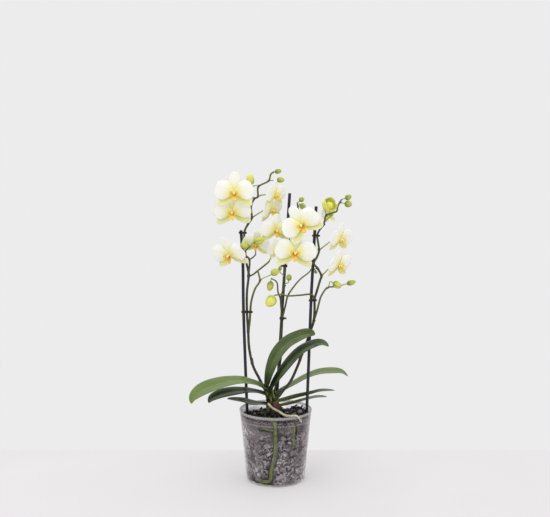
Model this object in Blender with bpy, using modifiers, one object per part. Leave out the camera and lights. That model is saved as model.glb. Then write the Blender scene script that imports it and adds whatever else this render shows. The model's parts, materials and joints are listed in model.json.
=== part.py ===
"""Potted moth orchid with many small flowers: a clear nursery pot of bark, three support canes
with stem clips, a short crown with leaves and roots, three flower spikes, open flowers and buds.

Run with blender --background --python part.py, or from the text editor. The frame has +Z up,
its origin at the centre of the pot's underside and -Y towards the front of the plant. Lengths
below are millimetres and become metres where a mesh is made.
"""

import math

import bmesh
import bpy
from mathutils import Matrix, Vector

MM = 0.001
GAP = 0.3  # clearance between pieces that touch

# Pot and what fills it
POT_HEIGHT = 120.0
RIM_RADIUS = 60.0
RIM_BAND = 4.0
WALL_TOP_RADIUS = 58.8
WALL_FOOT_RADIUS = 48.8
FOOT_RADIUS = 46.5
FOOT_CHAMFER = 4.0
WALL = 1.0
FLOOR = 1.4
ROUND_STEPS = 32
DRAIN_HOLES = 8
DRAIN_RING = 32.0
DRAIN_RADIUS = 3.5
SLOT_SIZE = (9.0, 5.0, 5.0)
SLOT_TURN = -57.0
SOIL_TOP = 110.0
ROOT_EASE = 0.7  # room between a root and the wall that it runs down

# Canes and clips
CANE_RADIUS = 2.5
CLIP_HEIGHT = 3.0
CLIP_ROOM = 0.5
CLIP_WALL = 1.0
CLIP_TAB = (4.0, 1.2, 2.2)
CLIP_BITE = 0.3  # how far a grip goes into the ring
CLIP_SPREAD = 0.2

# Crown: radius at each height, turned about CROWN_AT and narrower front to back
CROWN_AT = (-10.0, 0.0)
CROWN_PROFILE = ((2.0, 163.0), (6.5, 159.0), (10.5, 151.0), (12.0, 138.0), (11.0, 124.0))
CROWN_FOOT = 9.0
CROWN_BEND = 134.0  # height below which the crown leans to the right
CROWN_LEAN = 0.2
CROWN_DEPTH = 0.8

LEAF_FOOT = 0.28  # width at the foot, as a share of the widest
LEAF_WIDEST = 0.6  # share of the length at which a leaf is widest
LEAF_SHOULDER = 1.4
LEAF_END = 1.02
LEAF_THICKNESS = 1.6
LEAF_CHANNEL = 0.22  # how far the halves of a blade fold up, as a share of its half width

# One flower at a span of 60, facing +Z with its hood up +Y; its stalk meets the origin
FLOWER_SPAN = 60.0
TEPAL_THICKNESS = 1.5
#          turn, length, width, forward, lean
SEPALS = (
    (90.0, 36.0, 20.0, 6.5, -6.0),
    (210.0, 34.0, 19.0, 6.3, -7.0),
    (331.0, 34.0, 19.0, 6.4, -5.0),
)
PETALS = ((18.0, 33.0, 31.0, 7.4, 4.0), (162.0, 33.0, 31.0, 7.5, 4.5))
COLUMN_AT = (0.0, 1.5, 10.0)
COLUMN_SIZE = (6.0, 6.0, 9.0)
LIP_AT = (0.0, -4.5, 12.0)
LIP_SIZE = (11.0, 10.0, 9.0)
NECK = (1.3, 2.2, 8.0)
FLOWER_CENTRE = 8.0  # from where the stalk meets the flower to the face of its column

CANES = {
    "cane_left": ((-45.5, 13, 40), (-47.7, 12, 112), (-53, 14, 275), (-54, 17, 362), (-57, 20, 415)),
    "cane_middle": ((-3.5, 31, 40), (1, 29, 112), (12, 23, 302), (23, 18, 476)),
    "cane_right": ((46.5, 4, 40), (50, 5, 85), (52, 6, 119), (58, 9, 292), (60, 10, 337), (66, 12, 455)),
}

# Leaves: points along the midrib, half width, and the way to the back edge at base and tip
LEAVES = {
    "leaf_left_long": (
        ((-14, -3, 150), (-22, -6, 157), (-36, -9, 164), (-55, -12, 169), (-81, -18, 168),
         (-103, -24, 163), (-120, -29, 156), (-132, -33, 147), (-137, -36, 137)),
        21, (0, 1, 0.05), (-0.3, 0.8, 0.35)),
    "leaf_left_middle": (
        ((-14, -4, 140), (-23, -8, 147), (-42, -12, 152), (-63, -16, 152), (-84, -20, 149),
         (-102, -24, 143), (-110, -26, 136)),
        18, (0, 1, 0), (-0.25, 0.85, 0.25)),
    "leaf_left_low": (
        ((-14, -5, 126), (-24, -10, 130), (-40, -14, 132), (-58, -18, 137), (-80, -22, 142)),
        16, (0, 1, -0.02), (0, 1, 0.02)),
    "leaf_right_tall": (
        ((-12, -3, 156), (-11, -4, 168), (-7, -8, 190), (3, -13, 213), (20, -18, 233),
         (40, -23, 245), (54, -27, 250), (64, -30, 250)),
        20, (-0.7, 0.7, 0), (0, 0.94, 0.34)),
    "leaf_right_arching": (
        ((-6, -4, 152), (-1, -5, 164), (12, -10, 185), (28, -16, 206), (44, -21, 222),
         (62, -26, 232), (75, -29, 235), (86, -32, 231)),
        18, (-0.6, 0.8, 0), (0, 0.97, 0.2)),
    "leaf_right_pale": (
        ((-4, 3, 135), (8, 7, 145), (20, 14, 151), (32, 20, 156), (53, 30, 165), (74, 36, 171),
         (96, 40, 172), (112, 43, 170), (123, 45, 163)),
        20, (0, 1, 0), (0, 1, 0.05)),
    "leaf_right_back": (
        ((-5, 5, 127), (8, 11, 129), (28, 20, 132), (54, 29, 136), (76, 36, 140), (101, 44, 139)),
        16, (0, 0.97, -0.26), (0, 0.97, -0.26)),
    "leaf_right_low": (
        ((-5, 4, 119), (11, 10, 122), (32, 17, 125), (54, 22, 130), (71, 27, 132), (87, 32, 131)),
        12, (0, 0.97, -0.26), (0, 0.97, -0.26)),
}

# Stems: each spike is a list of runs, and a run is its radius at start and end, then its points
SPIKES = {
    "spike_left": (
        (2.4, 1.3, ((-14, 6, 142), (-22, 9, 158), (-28, 9, 170), (-38, 10, 191), (-44, 12, 220),
                    (-45.5, 13, 247), (-47.4, 13.5, 279), (-47.4, 14, 312), (-44.5, 14, 342),
                    (-48.5, 15, 364), (-50.5, 14, 390), (-51.3, 17, 412), (-45, 13, 426),
                    (-39, 11, 436), (-40, 11, 454), (-35, 11, 467), (-29, 11, 471), (-28, 11, 487),
                    (-12, 11, 496), (-8, 11, 507), (-3, 10, 511))),
        (2.0, 1.5, ((-45.5, 13, 247), (-43, 13, 264), (-41.8, 13, 282), (-40, 12, 299),
                    (-34, 9, 319), (-26, 6, 333), (-29, 5, 349))),
        (1.4, 1.5, ((-44.8, 14, 339), (-37, 10, 343), (-29, 6, 350), (-14, 6, 362), (-11, 7, 365))),
        (1.7, 1.2, ((-44.5, 14, 342), (-43, 6, 368), (-53, -2, 379), (-48, -5, 385), (-41, -8, 392))),
        (1.2, 1.2, ((-43, 6, 368), (-37, 5, 372), (-33, 6, 376))),
    ),
    "spike_middle": (
        (2.4, 1.2, ((-8, 5, 138), (0, 13, 152), (6, 15, 182), (8.5, 16, 224), (10.6, 17, 268),
                    (9, 16, 300), (14, 14, 323), (14, 14, 337), (15.5, 15.5, 356), (20, 11, 388),
                    (28, 8, 418), (35, 6, 440), (36, 4, 452), (35, 3, 461))),
        (1.7, 1.0, ((10.6, 17, 268), (16, 14, 290), (20, 12, 307), (30, 10, 323), (41, 8, 336),
                    (54, 4, 347), (58, 3, 353))),
        (1.5, 1.1, ((9, 16, 300), (4, 11, 313), (2, 8, 330), (-7, 6, 337))),
    ),
    "spike_right": (
        (2.4, 1.3, ((-4, -5, 134), (5, -6, 142), (12, -5, 151), (25, -1, 167), (36, 4, 190),
                    (42, 9, 205), (50, 13, 225), (57.5, 15, 247), (63, 13.5, 265), (64.2, 11, 288),
                    (64, 10, 302), (67, 9, 313), (73, 8, 334), (75, 8, 341), (69, 8, 353),
                    (62.5, 5, 362), (68, 8, 373), (71, 9, 383), (69, 10, 398), (68, 10.5, 408),
                    (72, 9, 417), (78, 8, 425), (80, 8, 433), (82, 8, 440), (90, 8, 444),
                    (99, 8, 447), (101, 8, 455), (104, 8, 461), (107, 8, 466))),
        (1.8, 1.2, ((63, 13.5, 265), (68, 10, 282), (71.5, 7, 297), (75, 7, 308), (84, 7, 321),
                    (94, 7, 323), (108, 7, 325))),
        (1.6, 1.2, ((64, 10, 302), (58, 3, 311), (40, 1, 310), (20, 0, 309), (10, -2, 312),
                    (0, -4, 311))),
    ),
}

# Flowers: column face, yaw to the right, pitch up, roll to the left, span, and stalk start
FLOWERS = (
    ("spike_left", (-66, -20, 478), -5, -5, 0, 61, (-35, 11, 467)),
    ("spike_left", (-70, -3, 446), -5, -12, 3, 60, (-45, 13, 426)),
    ("spike_left", (-75, -14, 377), -25, -22, 8, 58, (-50.5, 14, 390)),
    ("spike_left", (0, -13, 474), 52, -5, 0, 46, (-29, 11, 471)),
    ("spike_left", (-6, -2, 449), 45, -12, 12, 44, (-39, 11, 436)),
    ("spike_middle", (1, -12, 417), 15, -12, 0, 50, (28, 8, 418)),
    ("spike_left", (-32, 0, 393), -8, -20, -10, 44, (-33, 6, 376)),
    ("spike_middle", (42, -36, 428), -8, -5, 32, 62, (28, 8, 418)),
    ("spike_middle", (31, -22, 382), 4, -6, -6, 64, (20, 11, 388)),
    ("spike_left", (2, -6, 384), -20, -10, 10, 34, (-11, 7, 365)),
    ("spike_right", (86, 31, 438), -128, -12, 0, 32, (78, 8, 425)),
    ("spike_right", (106, 2, 400), 46, -12, 0, 50, (71, 9, 383)),
    ("spike_right", (104, 2, 358), 46, -12, 0, 50, (75, 8, 341)),
)

# Buds: middle, yaw and pitch of the tip, length, width, and stalk start
BUDS = (
    ("spike_left", (-41, 10, 499), -20, 70, 18, 13, (-28, 11, 487)),
    ("spike_left", (4, 10, 512), 90, 10, 11, 8, (-3, 10, 511)),
    ("spike_left", (8, 12, 498), 90, 5, 12, 9, (-12, 11, 496)),
    ("spike_middle", (42, 2, 467), 70, 40, 9, 8, (35, 3, 461)),
    ("spike_middle", (44, 0, 456), 80, -30, 10, 10, (36, 4, 452)),
    ("spike_right", (86, 4, 456), 35, 35, 20, 20, (82, 8, 440)),
    ("spike_right", (118, 8, 470), 90, 20, 11, 9, (107, 8, 466)),
    ("spike_right", (118, 8, 459), 90, -10, 12, 11, (104, 8, 461)),
    ("spike_left", (-27, -16, 402), 60, 20, 19, 13, (-41, -8, 392)),
    ("spike_left", (-50, -12, 394), -40, 30, 15, 12, (-53, -2, 379)),
    ("spike_left", (-1, 2, 348), 60, 30, 15, 12, (-26, 6, 333)),
    ("spike_middle", (22, 5, 339), 20, 70, 11, 9, (14, 14, 323)),
    ("spike_middle", (-9, 2, 325), -30, -75, 16, 11, (-7, 6, 337)),
    ("spike_right", (-8, -6, 301), -50, -50, 20, 18, (0, -4, 311)),
    ("spike_right", (100, -5, 328), 80, -25, 15, 12, (84, 7, 321)),
    ("spike_right", (124, 6, 330), 85, 15, 15, 9, (108, 7, 325)),
    ("spike_middle", (7, 6, 354), -10, 75, 7, 6, (14, 14, 337)),
    ("spike_right", (66, 16, 346), 40, -60, 6, 5, (69, 8, 353)),
)
FLOWER_STALK = 1.1
BUD_STALK = 0.9

# Clips: the middles of the cane and the last stem that one holds, its height, and its grips' side
CLIPS = {
    "clip_left_low": (((-53, 14), (-41.8, 13)), 280, 1),
    "clip_left_high": (((-56.8, 19.8), (-51.3, 17)), 411, 1),
    "clip_middle_low": (((10.2, 24), (10.6, 17)), 268, -1),
    "clip_middle_high": (((15.5, 21.2), (15.5, 15.5)), 356, 1),
    "clip_right_low": (((58.3, 9.2), (64, 10)), 300, 1),
    "clip_right_high": (((63.4, 11.2), (68.5, 10.3)), 407, 1),
}


def clear_scene():
    for obj in list(bpy.data.objects):
        bpy.data.objects.remove(obj, do_unlink=True)


def collection(name):
    made = bpy.data.collections.new(name)
    bpy.context.scene.collection.children.link(made)
    return made


def material(name, hex_colour, roughness, alpha=1.0):
    made = bpy.data.materials.new(name)
    made.use_nodes = True
    shader = made.node_tree.nodes["Principled BSDF"]
    srgb = [int(hex_colour[i : i + 2], 16) / 255 for i in (0, 2, 4)]
    linear = [c / 12.92 if c <= 0.04045 else ((c + 0.055) / 1.055) ** 2.4 for c in srgb]
    shader.inputs["Base Color"].default_value = (*linear, 1)
    shader.inputs["Roughness"].default_value = roughness
    shader.inputs["Metallic"].default_value = 0
    shader.inputs["Alpha"].default_value = alpha
    return made


def put(name, mesh, finish=None):
    """A piece of the plant, or a hidden helper where it has no finish."""
    obj = bpy.data.objects.new(name, mesh)
    if finish is None:
        obj.display_type = "WIRE"
        obj.hide_render = True
        HELPERS.objects.link(obj)
        return obj
    if not mesh.materials:
        mesh.materials.append(finish)
    mesh.shade_smooth()
    PLANT.objects.link(obj)
    return obj


def smooth(points, steps=2):
    """Points on a smooth curve through the given ones."""
    ends = [Vector(p) for p in points]
    ends = [2 * ends[0] - ends[1], *ends, 2 * ends[-1] - ends[-2]]
    found = []
    for a, b, c, d in zip(ends, ends[1:], ends[2:], ends[3:]):
        for step in range(steps):
            t = step / steps
            found.append(
                0.5 * (2 * b + (c - a) * t + (2 * a - 5 * b + 4 * c - d) * t**2
                       + (3 * b - a - 3 * c + d) * t**3))
    return [*found, ends[-2]]


def tube(name, points, start_radius, end_radius, rings=2):
    """A closed mesh tube along the points, tapered from start to end."""
    curve = bpy.data.curves.new(name, "CURVE")
    curve.dimensions = "3D"
    curve.bevel_depth = start_radius * MM
    curve.bevel_resolution = rings
    curve.use_fill_caps = True
    line = curve.splines.new("POLY")
    line.points.add(len(points) - 1)
    for i, (point, place) in enumerate(zip(line.points, points)):
        point.co = (*(Vector(place) * MM), 1)
        point.radius = 1 + (end_radius / start_radius - 1) * i / (len(points) - 1)
    guide = bpy.data.objects.new(name, curve)
    HELPERS.objects.link(guide)
    bpy.context.view_layer.update()
    seen = guide.evaluated_get(bpy.context.evaluated_depsgraph_get())
    mesh = bpy.data.meshes.new_from_object(seen)
    bpy.data.objects.remove(guide)
    shape = bmesh.new()
    shape.from_mesh(mesh)
    bmesh.ops.remove_doubles(shape, verts=shape.verts, dist=1e-6)
    shape.to_mesh(mesh)
    shape.free()
    return mesh


def turned(name, profile, finish=None, steps=ROUND_STEPS):
    """A profile of radius and height, run down its outer side, turned about Z."""
    mesh = bpy.data.meshes.new(name)
    points = [(r * MM, 0, z * MM) for r, z in profile]
    mesh.from_pydata(points, [(i, i + 1) for i in range(len(points) - 1)], [])
    obj = put(name, mesh, finish)
    screw = obj.modifiers.new("Turn", "SCREW")
    screw.steps = steps
    screw.render_steps = steps
    screw.use_merge_vertices = True
    screw.merge_threshold = 1e-5
    return obj


def ball(size, place=(0, 0, 0), u=8, v=4):
    """A bmesh ellipsoid of the given full sizes."""
    shape = bmesh.new()
    bmesh.ops.create_uvsphere(shape, u_segments=u, v_segments=v, radius=0.5)
    spot = Matrix.Translation(place) @ Matrix.Diagonal((*size, 1))
    bmesh.ops.transform(shape, matrix=spot, verts=shape.verts)
    return shape


def finish_shape(name, shape, scale=MM):
    bmesh.ops.scale(shape, vec=(scale,) * 3, verts=shape.verts)
    mesh = bpy.data.meshes.new(name)
    shape.to_mesh(mesh)
    shape.free()
    return mesh


def boolean(obj, operation, others):
    """One Boolean with a collection of helpers of its own."""
    group = bpy.data.collections.new(f"{obj.name}_{operation.lower()}")
    HELPERS.children.link(group)
    for other in others:
        HELPERS.objects.unlink(other)
        group.objects.link(other)
    step = obj.modifiers.new(operation.title(), "BOOLEAN")
    step.operation = operation
    step.operand_type = "COLLECTION"
    step.collection = group
    step.solver = "EXACT"


def bake(obj):
    """The object's mesh with its modifiers applied."""
    bpy.context.view_layer.update()
    seen = obj.evaluated_get(bpy.context.evaluated_depsgraph_get())
    return bpy.data.meshes.new_from_object(seen)


def wall_radius(z):
    """Inner radius of the pot at a height."""
    share = (z - FOOT_CHAMFER) / (POT_HEIGHT - RIM_BAND - FOOT_CHAMFER)
    return WALL_FOOT_RADIUS + (WALL_TOP_RADIUS - WALL_FOOT_RADIUS) * max(share, 0) - WALL


def on_wall(angle, z, radius):
    """Middle of a root of this radius that lies against the inside of the pot."""
    reach = wall_radius(z) - ROOT_EASE - radius
    turn = math.radians(angle)
    return (reach * math.cos(turn), reach * math.sin(turn), z)


def make_pot():
    top = POT_HEIGHT - RIM_BAND
    pot = turned("pot", (
        (0, FLOOR),
        (FOOT_RADIUS - 2 * WALL, FLOOR),
        (WALL_FOOT_RADIUS - WALL, FOOT_CHAMFER),
        (WALL_TOP_RADIUS - WALL, top),
        (WALL_TOP_RADIUS - WALL, POT_HEIGHT - WALL),
        (RIM_RADIUS - WALL, POT_HEIGHT),
        (RIM_RADIUS, POT_HEIGHT - 0.6),
        (RIM_RADIUS, top),
        (WALL_TOP_RADIUS, top),
        (WALL_FOOT_RADIUS, FOOT_CHAMFER),
        (FOOT_RADIUS, 0),
        (0, 0),
    ), material("clear_plastic", "C9C6CC", 0.2, 0.35))
    cutters = []
    for i in range(DRAIN_HOLES):
        angle = math.radians(SLOT_TURN + 360 / DRAIN_HOLES * i)
        hole = bmesh.new()
        bmesh.ops.create_cone(hole, cap_ends=True, segments=10, radius1=DRAIN_RADIUS,
                              radius2=DRAIN_RADIUS, depth=4 * FLOOR)
        ring = Matrix.Rotation(angle + math.pi / DRAIN_HOLES, 4, "Z")
        bmesh.ops.transform(hole, matrix=ring @ Matrix.Translation((DRAIN_RING, 0, 0)), verts=hole.verts)
        cutters.append(put(f"drain_{i}", finish_shape("drain", hole)))
        slot = bmesh.new()
        bmesh.ops.create_cube(slot, size=1)
        spot = Matrix.Rotation(angle, 4, "Z") @ Matrix.Translation((WALL_FOOT_RADIUS, 0, FOOT_CHAMFER / 2))
        bmesh.ops.transform(slot, matrix=spot @ Matrix.Diagonal((*SLOT_SIZE, 1)), verts=slot.verts)
        cutters.append(put(f"slot_{i}", finish_shape("slot", slot)))
    boolean(pot, "DIFFERENCE", cutters)
    return pot


def make_substrate(buried):
    """The block of bark, grooved for the canes and roots, given as points and radii."""
    block = turned("substrate", (
        (0, SOIL_TOP),
        (wall_radius(SOIL_TOP) - 3, SOIL_TOP),
        (wall_radius(SOIL_TOP - 3) - GAP, SOIL_TOP - 3),
        (WALL_FOOT_RADIUS - WALL - GAP, FOOT_CHAMFER + GAP),
        (FOOT_RADIUS - 2 * WALL - GAP, FLOOR + GAP),
        (0, FLOOR + GAP),
    ), material("bark", "4A3A34", 0.9))
    grooves = []
    for i, (points, radii) in enumerate(buried):
        fat = tube(f"groove_{i}", points, radii[0] + GAP, radii[1] + GAP)
        grooves.append(put(f"groove_{i}", fat))
    boolean(block, "DIFFERENCE", grooves)


def make_canes():
    finish = material("cane_black", "12151C", 0.45)
    for name, points in CANES.items():
        put(name, tube(name, smooth(points), CANE_RADIUS, CANE_RADIUS), finish)


def make_clip(name, stems, height, side, finish):
    """A flat ring round a cane and the stems beside it, with two grip tabs."""
    cane, last = Vector((*stems[0], height)), Vector((*stems[1], height))
    along = (last - cane).normalized()
    heading = math.atan2(along.y, along.x)
    curve = bpy.data.curves.new(name, "CURVE")
    curve.dimensions = "2D"
    curve.fill_mode = "BOTH"
    curve.extrude = CLIP_HEIGHT / 2 * MM
    inner = CANE_RADIUS + CLIP_ROOM
    for radius in (inner + CLIP_WALL, inner):
        ring = []
        for centre, middle in ((last, heading), (cane, heading + math.pi)):
            for step in range(-2, 3):
                angle = middle + math.radians(45 * step)
                ring.append(centre + radius * Vector((math.cos(angle), math.sin(angle), 0)))
        line = curve.splines.new("POLY")
        line.points.add(len(ring) - 1)
        for point, place in zip(line.points, ring):
            point.co = (place.x * MM, place.y * MM, 0, 1)
        line.use_cyclic_u = True
    guide = bpy.data.objects.new(name, curve)
    guide.location.z = height * MM
    HELPERS.objects.link(guide)
    mesh = bake(guide)
    mesh.transform(guide.matrix_world)
    bpy.data.objects.remove(guide)
    shape = bmesh.new()
    shape.from_mesh(mesh)
    bmesh.ops.remove_doubles(shape, verts=shape.verts, dist=1e-6)
    shape.to_mesh(mesh)
    shape.free()
    obj = put(name, mesh, finish)
    grips = []
    out = Vector((along.y, -along.x, 0)) * side
    reach = inner + CLIP_WALL / 2 + CLIP_TAB[0] / 2 - CLIP_BITE
    for i, spread in enumerate((-1, 1)):
        way = (out + along * spread * CLIP_SPREAD).normalized()
        tab = bmesh.new()
        bmesh.ops.create_cube(tab, size=1)
        foot = (cane + last) / 2 + along * spread * CLIP_TAB[1]
        turn = Matrix.Rotation(math.atan2(way.y, way.x), 4, "Z")
        spot = Matrix.Translation(foot + way * reach) @ turn
        bmesh.ops.transform(tab, matrix=spot @ Matrix.Diagonal((*CLIP_TAB, 1)), verts=tab.verts)
        grips.append(put(f"{name}_tab_{i}", finish_shape("tab", tab)))
    boolean(obj, "UNION", grips)


def make_crown():
    """The short stem that carries leaves, spikes and roots, and its fatter cutter."""
    finish = material("crown_green", "5A6A2C", 0.6)
    crowns = []
    for name, grow, skin in (("crown", 0, finish), ("crown_room", GAP, None)):
        foot = SOIL_TOP + GAP - 2 * grow
        profile = [(0, CROWN_PROFILE[0][1] + grow)]
        profile += [(r + grow, z + (grow if r < 5 else 0)) for r, z in CROWN_PROFILE]
        profile += [(CROWN_FOOT + grow, foot), (0, foot)]
        crown = turned(name, profile, skin, 16)
        crown.data = bake(crown)
        crown.modifiers.clear()
        for vert in crown.data.vertices:
            vert.co.x += CROWN_LEAN * max(CROWN_BEND * MM - vert.co.z, 0)
        crown.location = (CROWN_AT[0] * MM, CROWN_AT[1] * MM, 0)
        crown.scale.y = CROWN_DEPTH + grow * 0.01
        crowns.append(crown)
    room = crowns[1]
    mesh = bake(room)
    mesh.transform(room.matrix_basis)
    bpy.data.objects.remove(room)
    return mesh


def clear_of_crown(obj, room):
    boolean(obj, "DIFFERENCE", [put(f"{obj.name}_room", room)])


def make_leaf(name, points, half_width, back_at_base, back_at_tip, finish, room):
    """A strap leaf: a grid laid along the midrib, folded along it, then made thick."""
    line = smooth(points, 2)
    last = len(line) - 1
    shape = bmesh.new()
    bmesh.ops.create_grid(shape, x_segments=last, y_segments=2, size=1)
    for vert in shape.verts:
        i = round((vert.co.x + 1) / 2 * last)
        share = vert.co.y
        t = i / last
        ahead = (line[min(i + 1, last)] - line[max(i - 1, 0)]).normalized()
        back = Vector(back_at_base).lerp(Vector(back_at_tip), t)
        back = (back - ahead * back.dot(ahead)).normalized()
        up = ahead.cross(back)
        up = up if up.z > 0 or abs(up.z) < 0.3 and up.x < 0 else -up
        swell = math.sin(math.pi / 2 * min(t / LEAF_WIDEST, 1)) ** LEAF_SHOULDER
        width = half_width * (LEAF_FOOT + (1 - LEAF_FOOT) * swell)
        past = max(t - LEAF_WIDEST, 0) / (LEAF_END - LEAF_WIDEST)
        width *= math.sqrt(1 - past**2)
        rise = LEAF_CHANNEL * width * abs(share)
        vert.co = (line[i] + back * width * share + up * rise) * MM
    mesh = bpy.data.meshes.new(name)
    shape.to_mesh(mesh)
    shape.free()
    leaf = put(name, mesh, finish)
    skin = leaf.modifiers.new("Thickness", "SOLIDIFY")
    skin.thickness = LEAF_THICKNESS * MM
    skin.offset = 0
    clear_of_crown(leaf, room)


def facing(yaw, pitch, roll=0):
    """Rotation that turns +Z to the way a flower or bud faces, its +Y kept upwards."""
    turn = Matrix.Rotation(math.radians(yaw), 4, "Z")
    lift = Matrix.Rotation(math.radians(90 - pitch), 4, "X")
    return turn @ lift @ Matrix.Rotation(math.radians(roll), 4, "Z")


def way_of(yaw, pitch):
    return facing(yaw, pitch) @ Vector((0, 0, 1))


def make_flower_mesh():
    """One open flower, its tepals, lip, column and neck joined into a single body."""
    neck = bmesh.new()
    bmesh.ops.create_cone(neck, cap_ends=True, segments=6, radius1=NECK[0], radius2=NECK[1], depth=NECK[2])
    bmesh.ops.translate(neck, vec=(0, 0, NECK[2] / 2), verts=neck.verts)
    flower = put("flower_core", finish_shape("flower_core", neck))
    parts = [ball(COLUMN_SIZE, COLUMN_AT, 6), ball(LIP_SIZE, LIP_AT, 6)]
    for turn, length, width, forward, lean in (*SEPALS, *PETALS):
        blade = ball((length, width, TEPAL_THICKNESS), (length / 2 - 2, 0, 0), 8, 3)
        spot = Matrix.Translation((0, 0, forward)) @ Matrix.Rotation(math.radians(turn), 4, "Z")
        spot = spot @ Matrix.Rotation(math.radians(-lean), 4, "Y")
        bmesh.ops.transform(blade, matrix=spot, verts=blade.verts)
        parts.append(blade)
    others = [put(f"flower_part_{i}", finish_shape("flower_part", p)) for i, p in enumerate(parts)]
    boolean(flower, "UNION", others)
    mesh = bake(flower)
    for other in others:
        bpy.data.objects.remove(other)
    bpy.data.objects.remove(flower)
    return mesh


def stalk(start, end, way):
    """Points of a stalk that leaves a stem and arrives along the way its flower faces."""
    start, end = Vector(start), Vector(end)
    reach = (end - start).length
    leave = start + (end - start) * 0.3 + Vector((0, 0, 0.06 * reach))
    arrive = end - way * max(min(reach * 0.3, 7), 2.5)
    return [*smooth((start, leave, arrive), 2), end]


def make_blooms():
    """Flowers and buds with their stalks, which are given back by spike."""
    flower_mesh = make_flower_mesh()
    petal = material("petal_cream", "F5F2E4", 0.55)
    bud_skin = material("bud_green", "C3CC55", 0.5)
    bud = ball((1, 1, 1), (0, 0, 0.5), 8, 5)
    for vert in bud.verts:
        narrow = 1 - 0.25 * (vert.co.z - 0.4)
        vert.co.x *= narrow
        vert.co.y *= narrow
    bud_mesh = finish_shape("bud", bud)
    stalks = {name: [] for name in SPIKES}
    for i, (spike, face, yaw, pitch, roll, span, start) in enumerate(FLOWERS):
        size = span / FLOWER_SPAN
        way = way_of(yaw, pitch)
        foot = Vector(face) - way * FLOWER_CENTRE * size
        flower = put(f"flower_{i + 1:02d}", flower_mesh, petal)
        flower.matrix_world = Matrix.Translation(foot * MM) @ facing(yaw, pitch, roll) @ Matrix.Scale(size, 4)
        stalks[spike].append((FLOWER_STALK, stalk(start, foot - way * GAP, way)))
    for i, (spike, middle, yaw, pitch, length, width, start) in enumerate(BUDS):
        way = way_of(yaw, pitch)
        foot = Vector(middle) - way * length / 2
        piece = put(f"bud_{i + 1:02d}", bud_mesh, bud_skin)
        spot = Matrix.Translation(foot * MM) @ facing(yaw, pitch)
        piece.matrix_world = spot @ Matrix.Diagonal((width, width, length, 1))
        stalks[spike].append((BUD_STALK, stalk(start, foot - way * GAP, way)))
    return stalks


def make_spikes(stalks, room):
    finish = material("stem_olive", "4C4A22", 0.5)
    for name, runs in SPIKES.items():
        start, end, points = runs[0]
        spike = put(name, tube(name, smooth(points), start, end, 1), finish)
        joined = []
        for i, (start, end, points) in enumerate(runs[1:]):
            joined.append(put(f"{name}_branch_{i}", tube("branch", smooth(points), start, end, 1)))
        for i, (radius, points) in enumerate(stalks[name]):
            joined.append(put(f"{name}_stalk_{i}", tube("stalk", points, radius, radius, 1)))
        boolean(spike, "UNION", joined)
        clear_of_crown(spike, room)


def make_roots(room):
    """Roots from the crown: one over the rim, and two down the inside of the pot."""
    finish = material("root_green", "6E7D32", 0.6)
    main, thin, side = 3.2, 2.4, 1.6
    aerial = smooth((
        (-12, -5, 130), (-11, -13, 130), (-5, -24, 127), (3, -35, 125.5), (10, -45, 124),
        (15, -53, 123), (22, -54.5, 122.4), (29, -52.7, 122.3), (33, -52, 121.7),
        (35.8, -51, 119.8), (38.5, -49.2, 116), (41, -47.2, 111)))
    put("root_over_rim", tube("root_over_rim", aerial, 2.0, 1.5), material("root_silver", "A9A58F", 0.8))
    front = smooth((
        (-10, -4, 113.6), (-7, -22, 113.6), (-4, -38, 113.6), on_wall(-92, 109, main),
        on_wall(-90.5, 82, main), on_wall(-90.5, 57, main), on_wall(-94, 43, main),
        on_wall(-99, 27, main), on_wall(-100, 14, main), on_wall(-106, 9, main),
        on_wall(-120, 8, main), on_wall(-135, 8.5, main)))
    right = smooth((
        (-3, -4, 112.8), (12, -20, 112.8), (24, -36, 112.8), on_wall(-57, 105, thin),
        on_wall(-56, 85, thin), on_wall(-55, 66, thin)))
    offshoot = smooth((
        on_wall(-91, 97, main), on_wall(-100, 98, side), on_wall(-110, 100, side),
        on_wall(-117, 99, side)))
    stub = put("offshoot", tube("offshoot", offshoot, side, side, 1))
    root = put("root_front", tube("root_front", front, main, main * 0.8), finish)
    boolean(root, "UNION", [stub])
    clear_of_crown(root, room)
    other = put("root_right", tube("root_right", right, thin, thin * 0.8), finish)
    clear_of_crown(other, room)
    clear_of_crown(bpy.data.objects["root_over_rim"], room)
    return [(front, (main, main * 0.8)), (right, (thin, thin * 0.8)), (offshoot, (side, side))]


def main():
    make_pot()
    room = make_crown()
    buried = make_roots(room)
    for foot, *rest in CANES.values():
        deeper = Vector(foot) - Vector((0, 0, 2))
        buried.append((smooth((deeper, *rest)), (CANE_RADIUS,) * 2))
    make_substrate(buried)
    make_canes()
    clip_finish = material("clip_black", "1A1512", 0.4)
    for name, (stems, height, side) in CLIPS.items():
        make_clip(name, stems, height, side, clip_finish)
    leaf_finish = material("leaf_green", "5F7F45", 0.4)
    for name, (points, half_width, at_base, at_tip) in LEAVES.items():
        make_leaf(name, points, half_width, at_base, at_tip, leaf_finish, room)
    make_spikes(make_blooms(), room)


clear_scene()
PLANT = collection("potted_orchid")
HELPERS = collection("helpers")
HELPERS.hide_render = True
main()
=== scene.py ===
"""Looks of a potted moth orchid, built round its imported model.

The frame has +Z up, its origin at the centre of the pot's underside and -Y towards the front of
the plant. Lengths in the lists below are millimetres and become metres where a mesh is made.
"""

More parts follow.
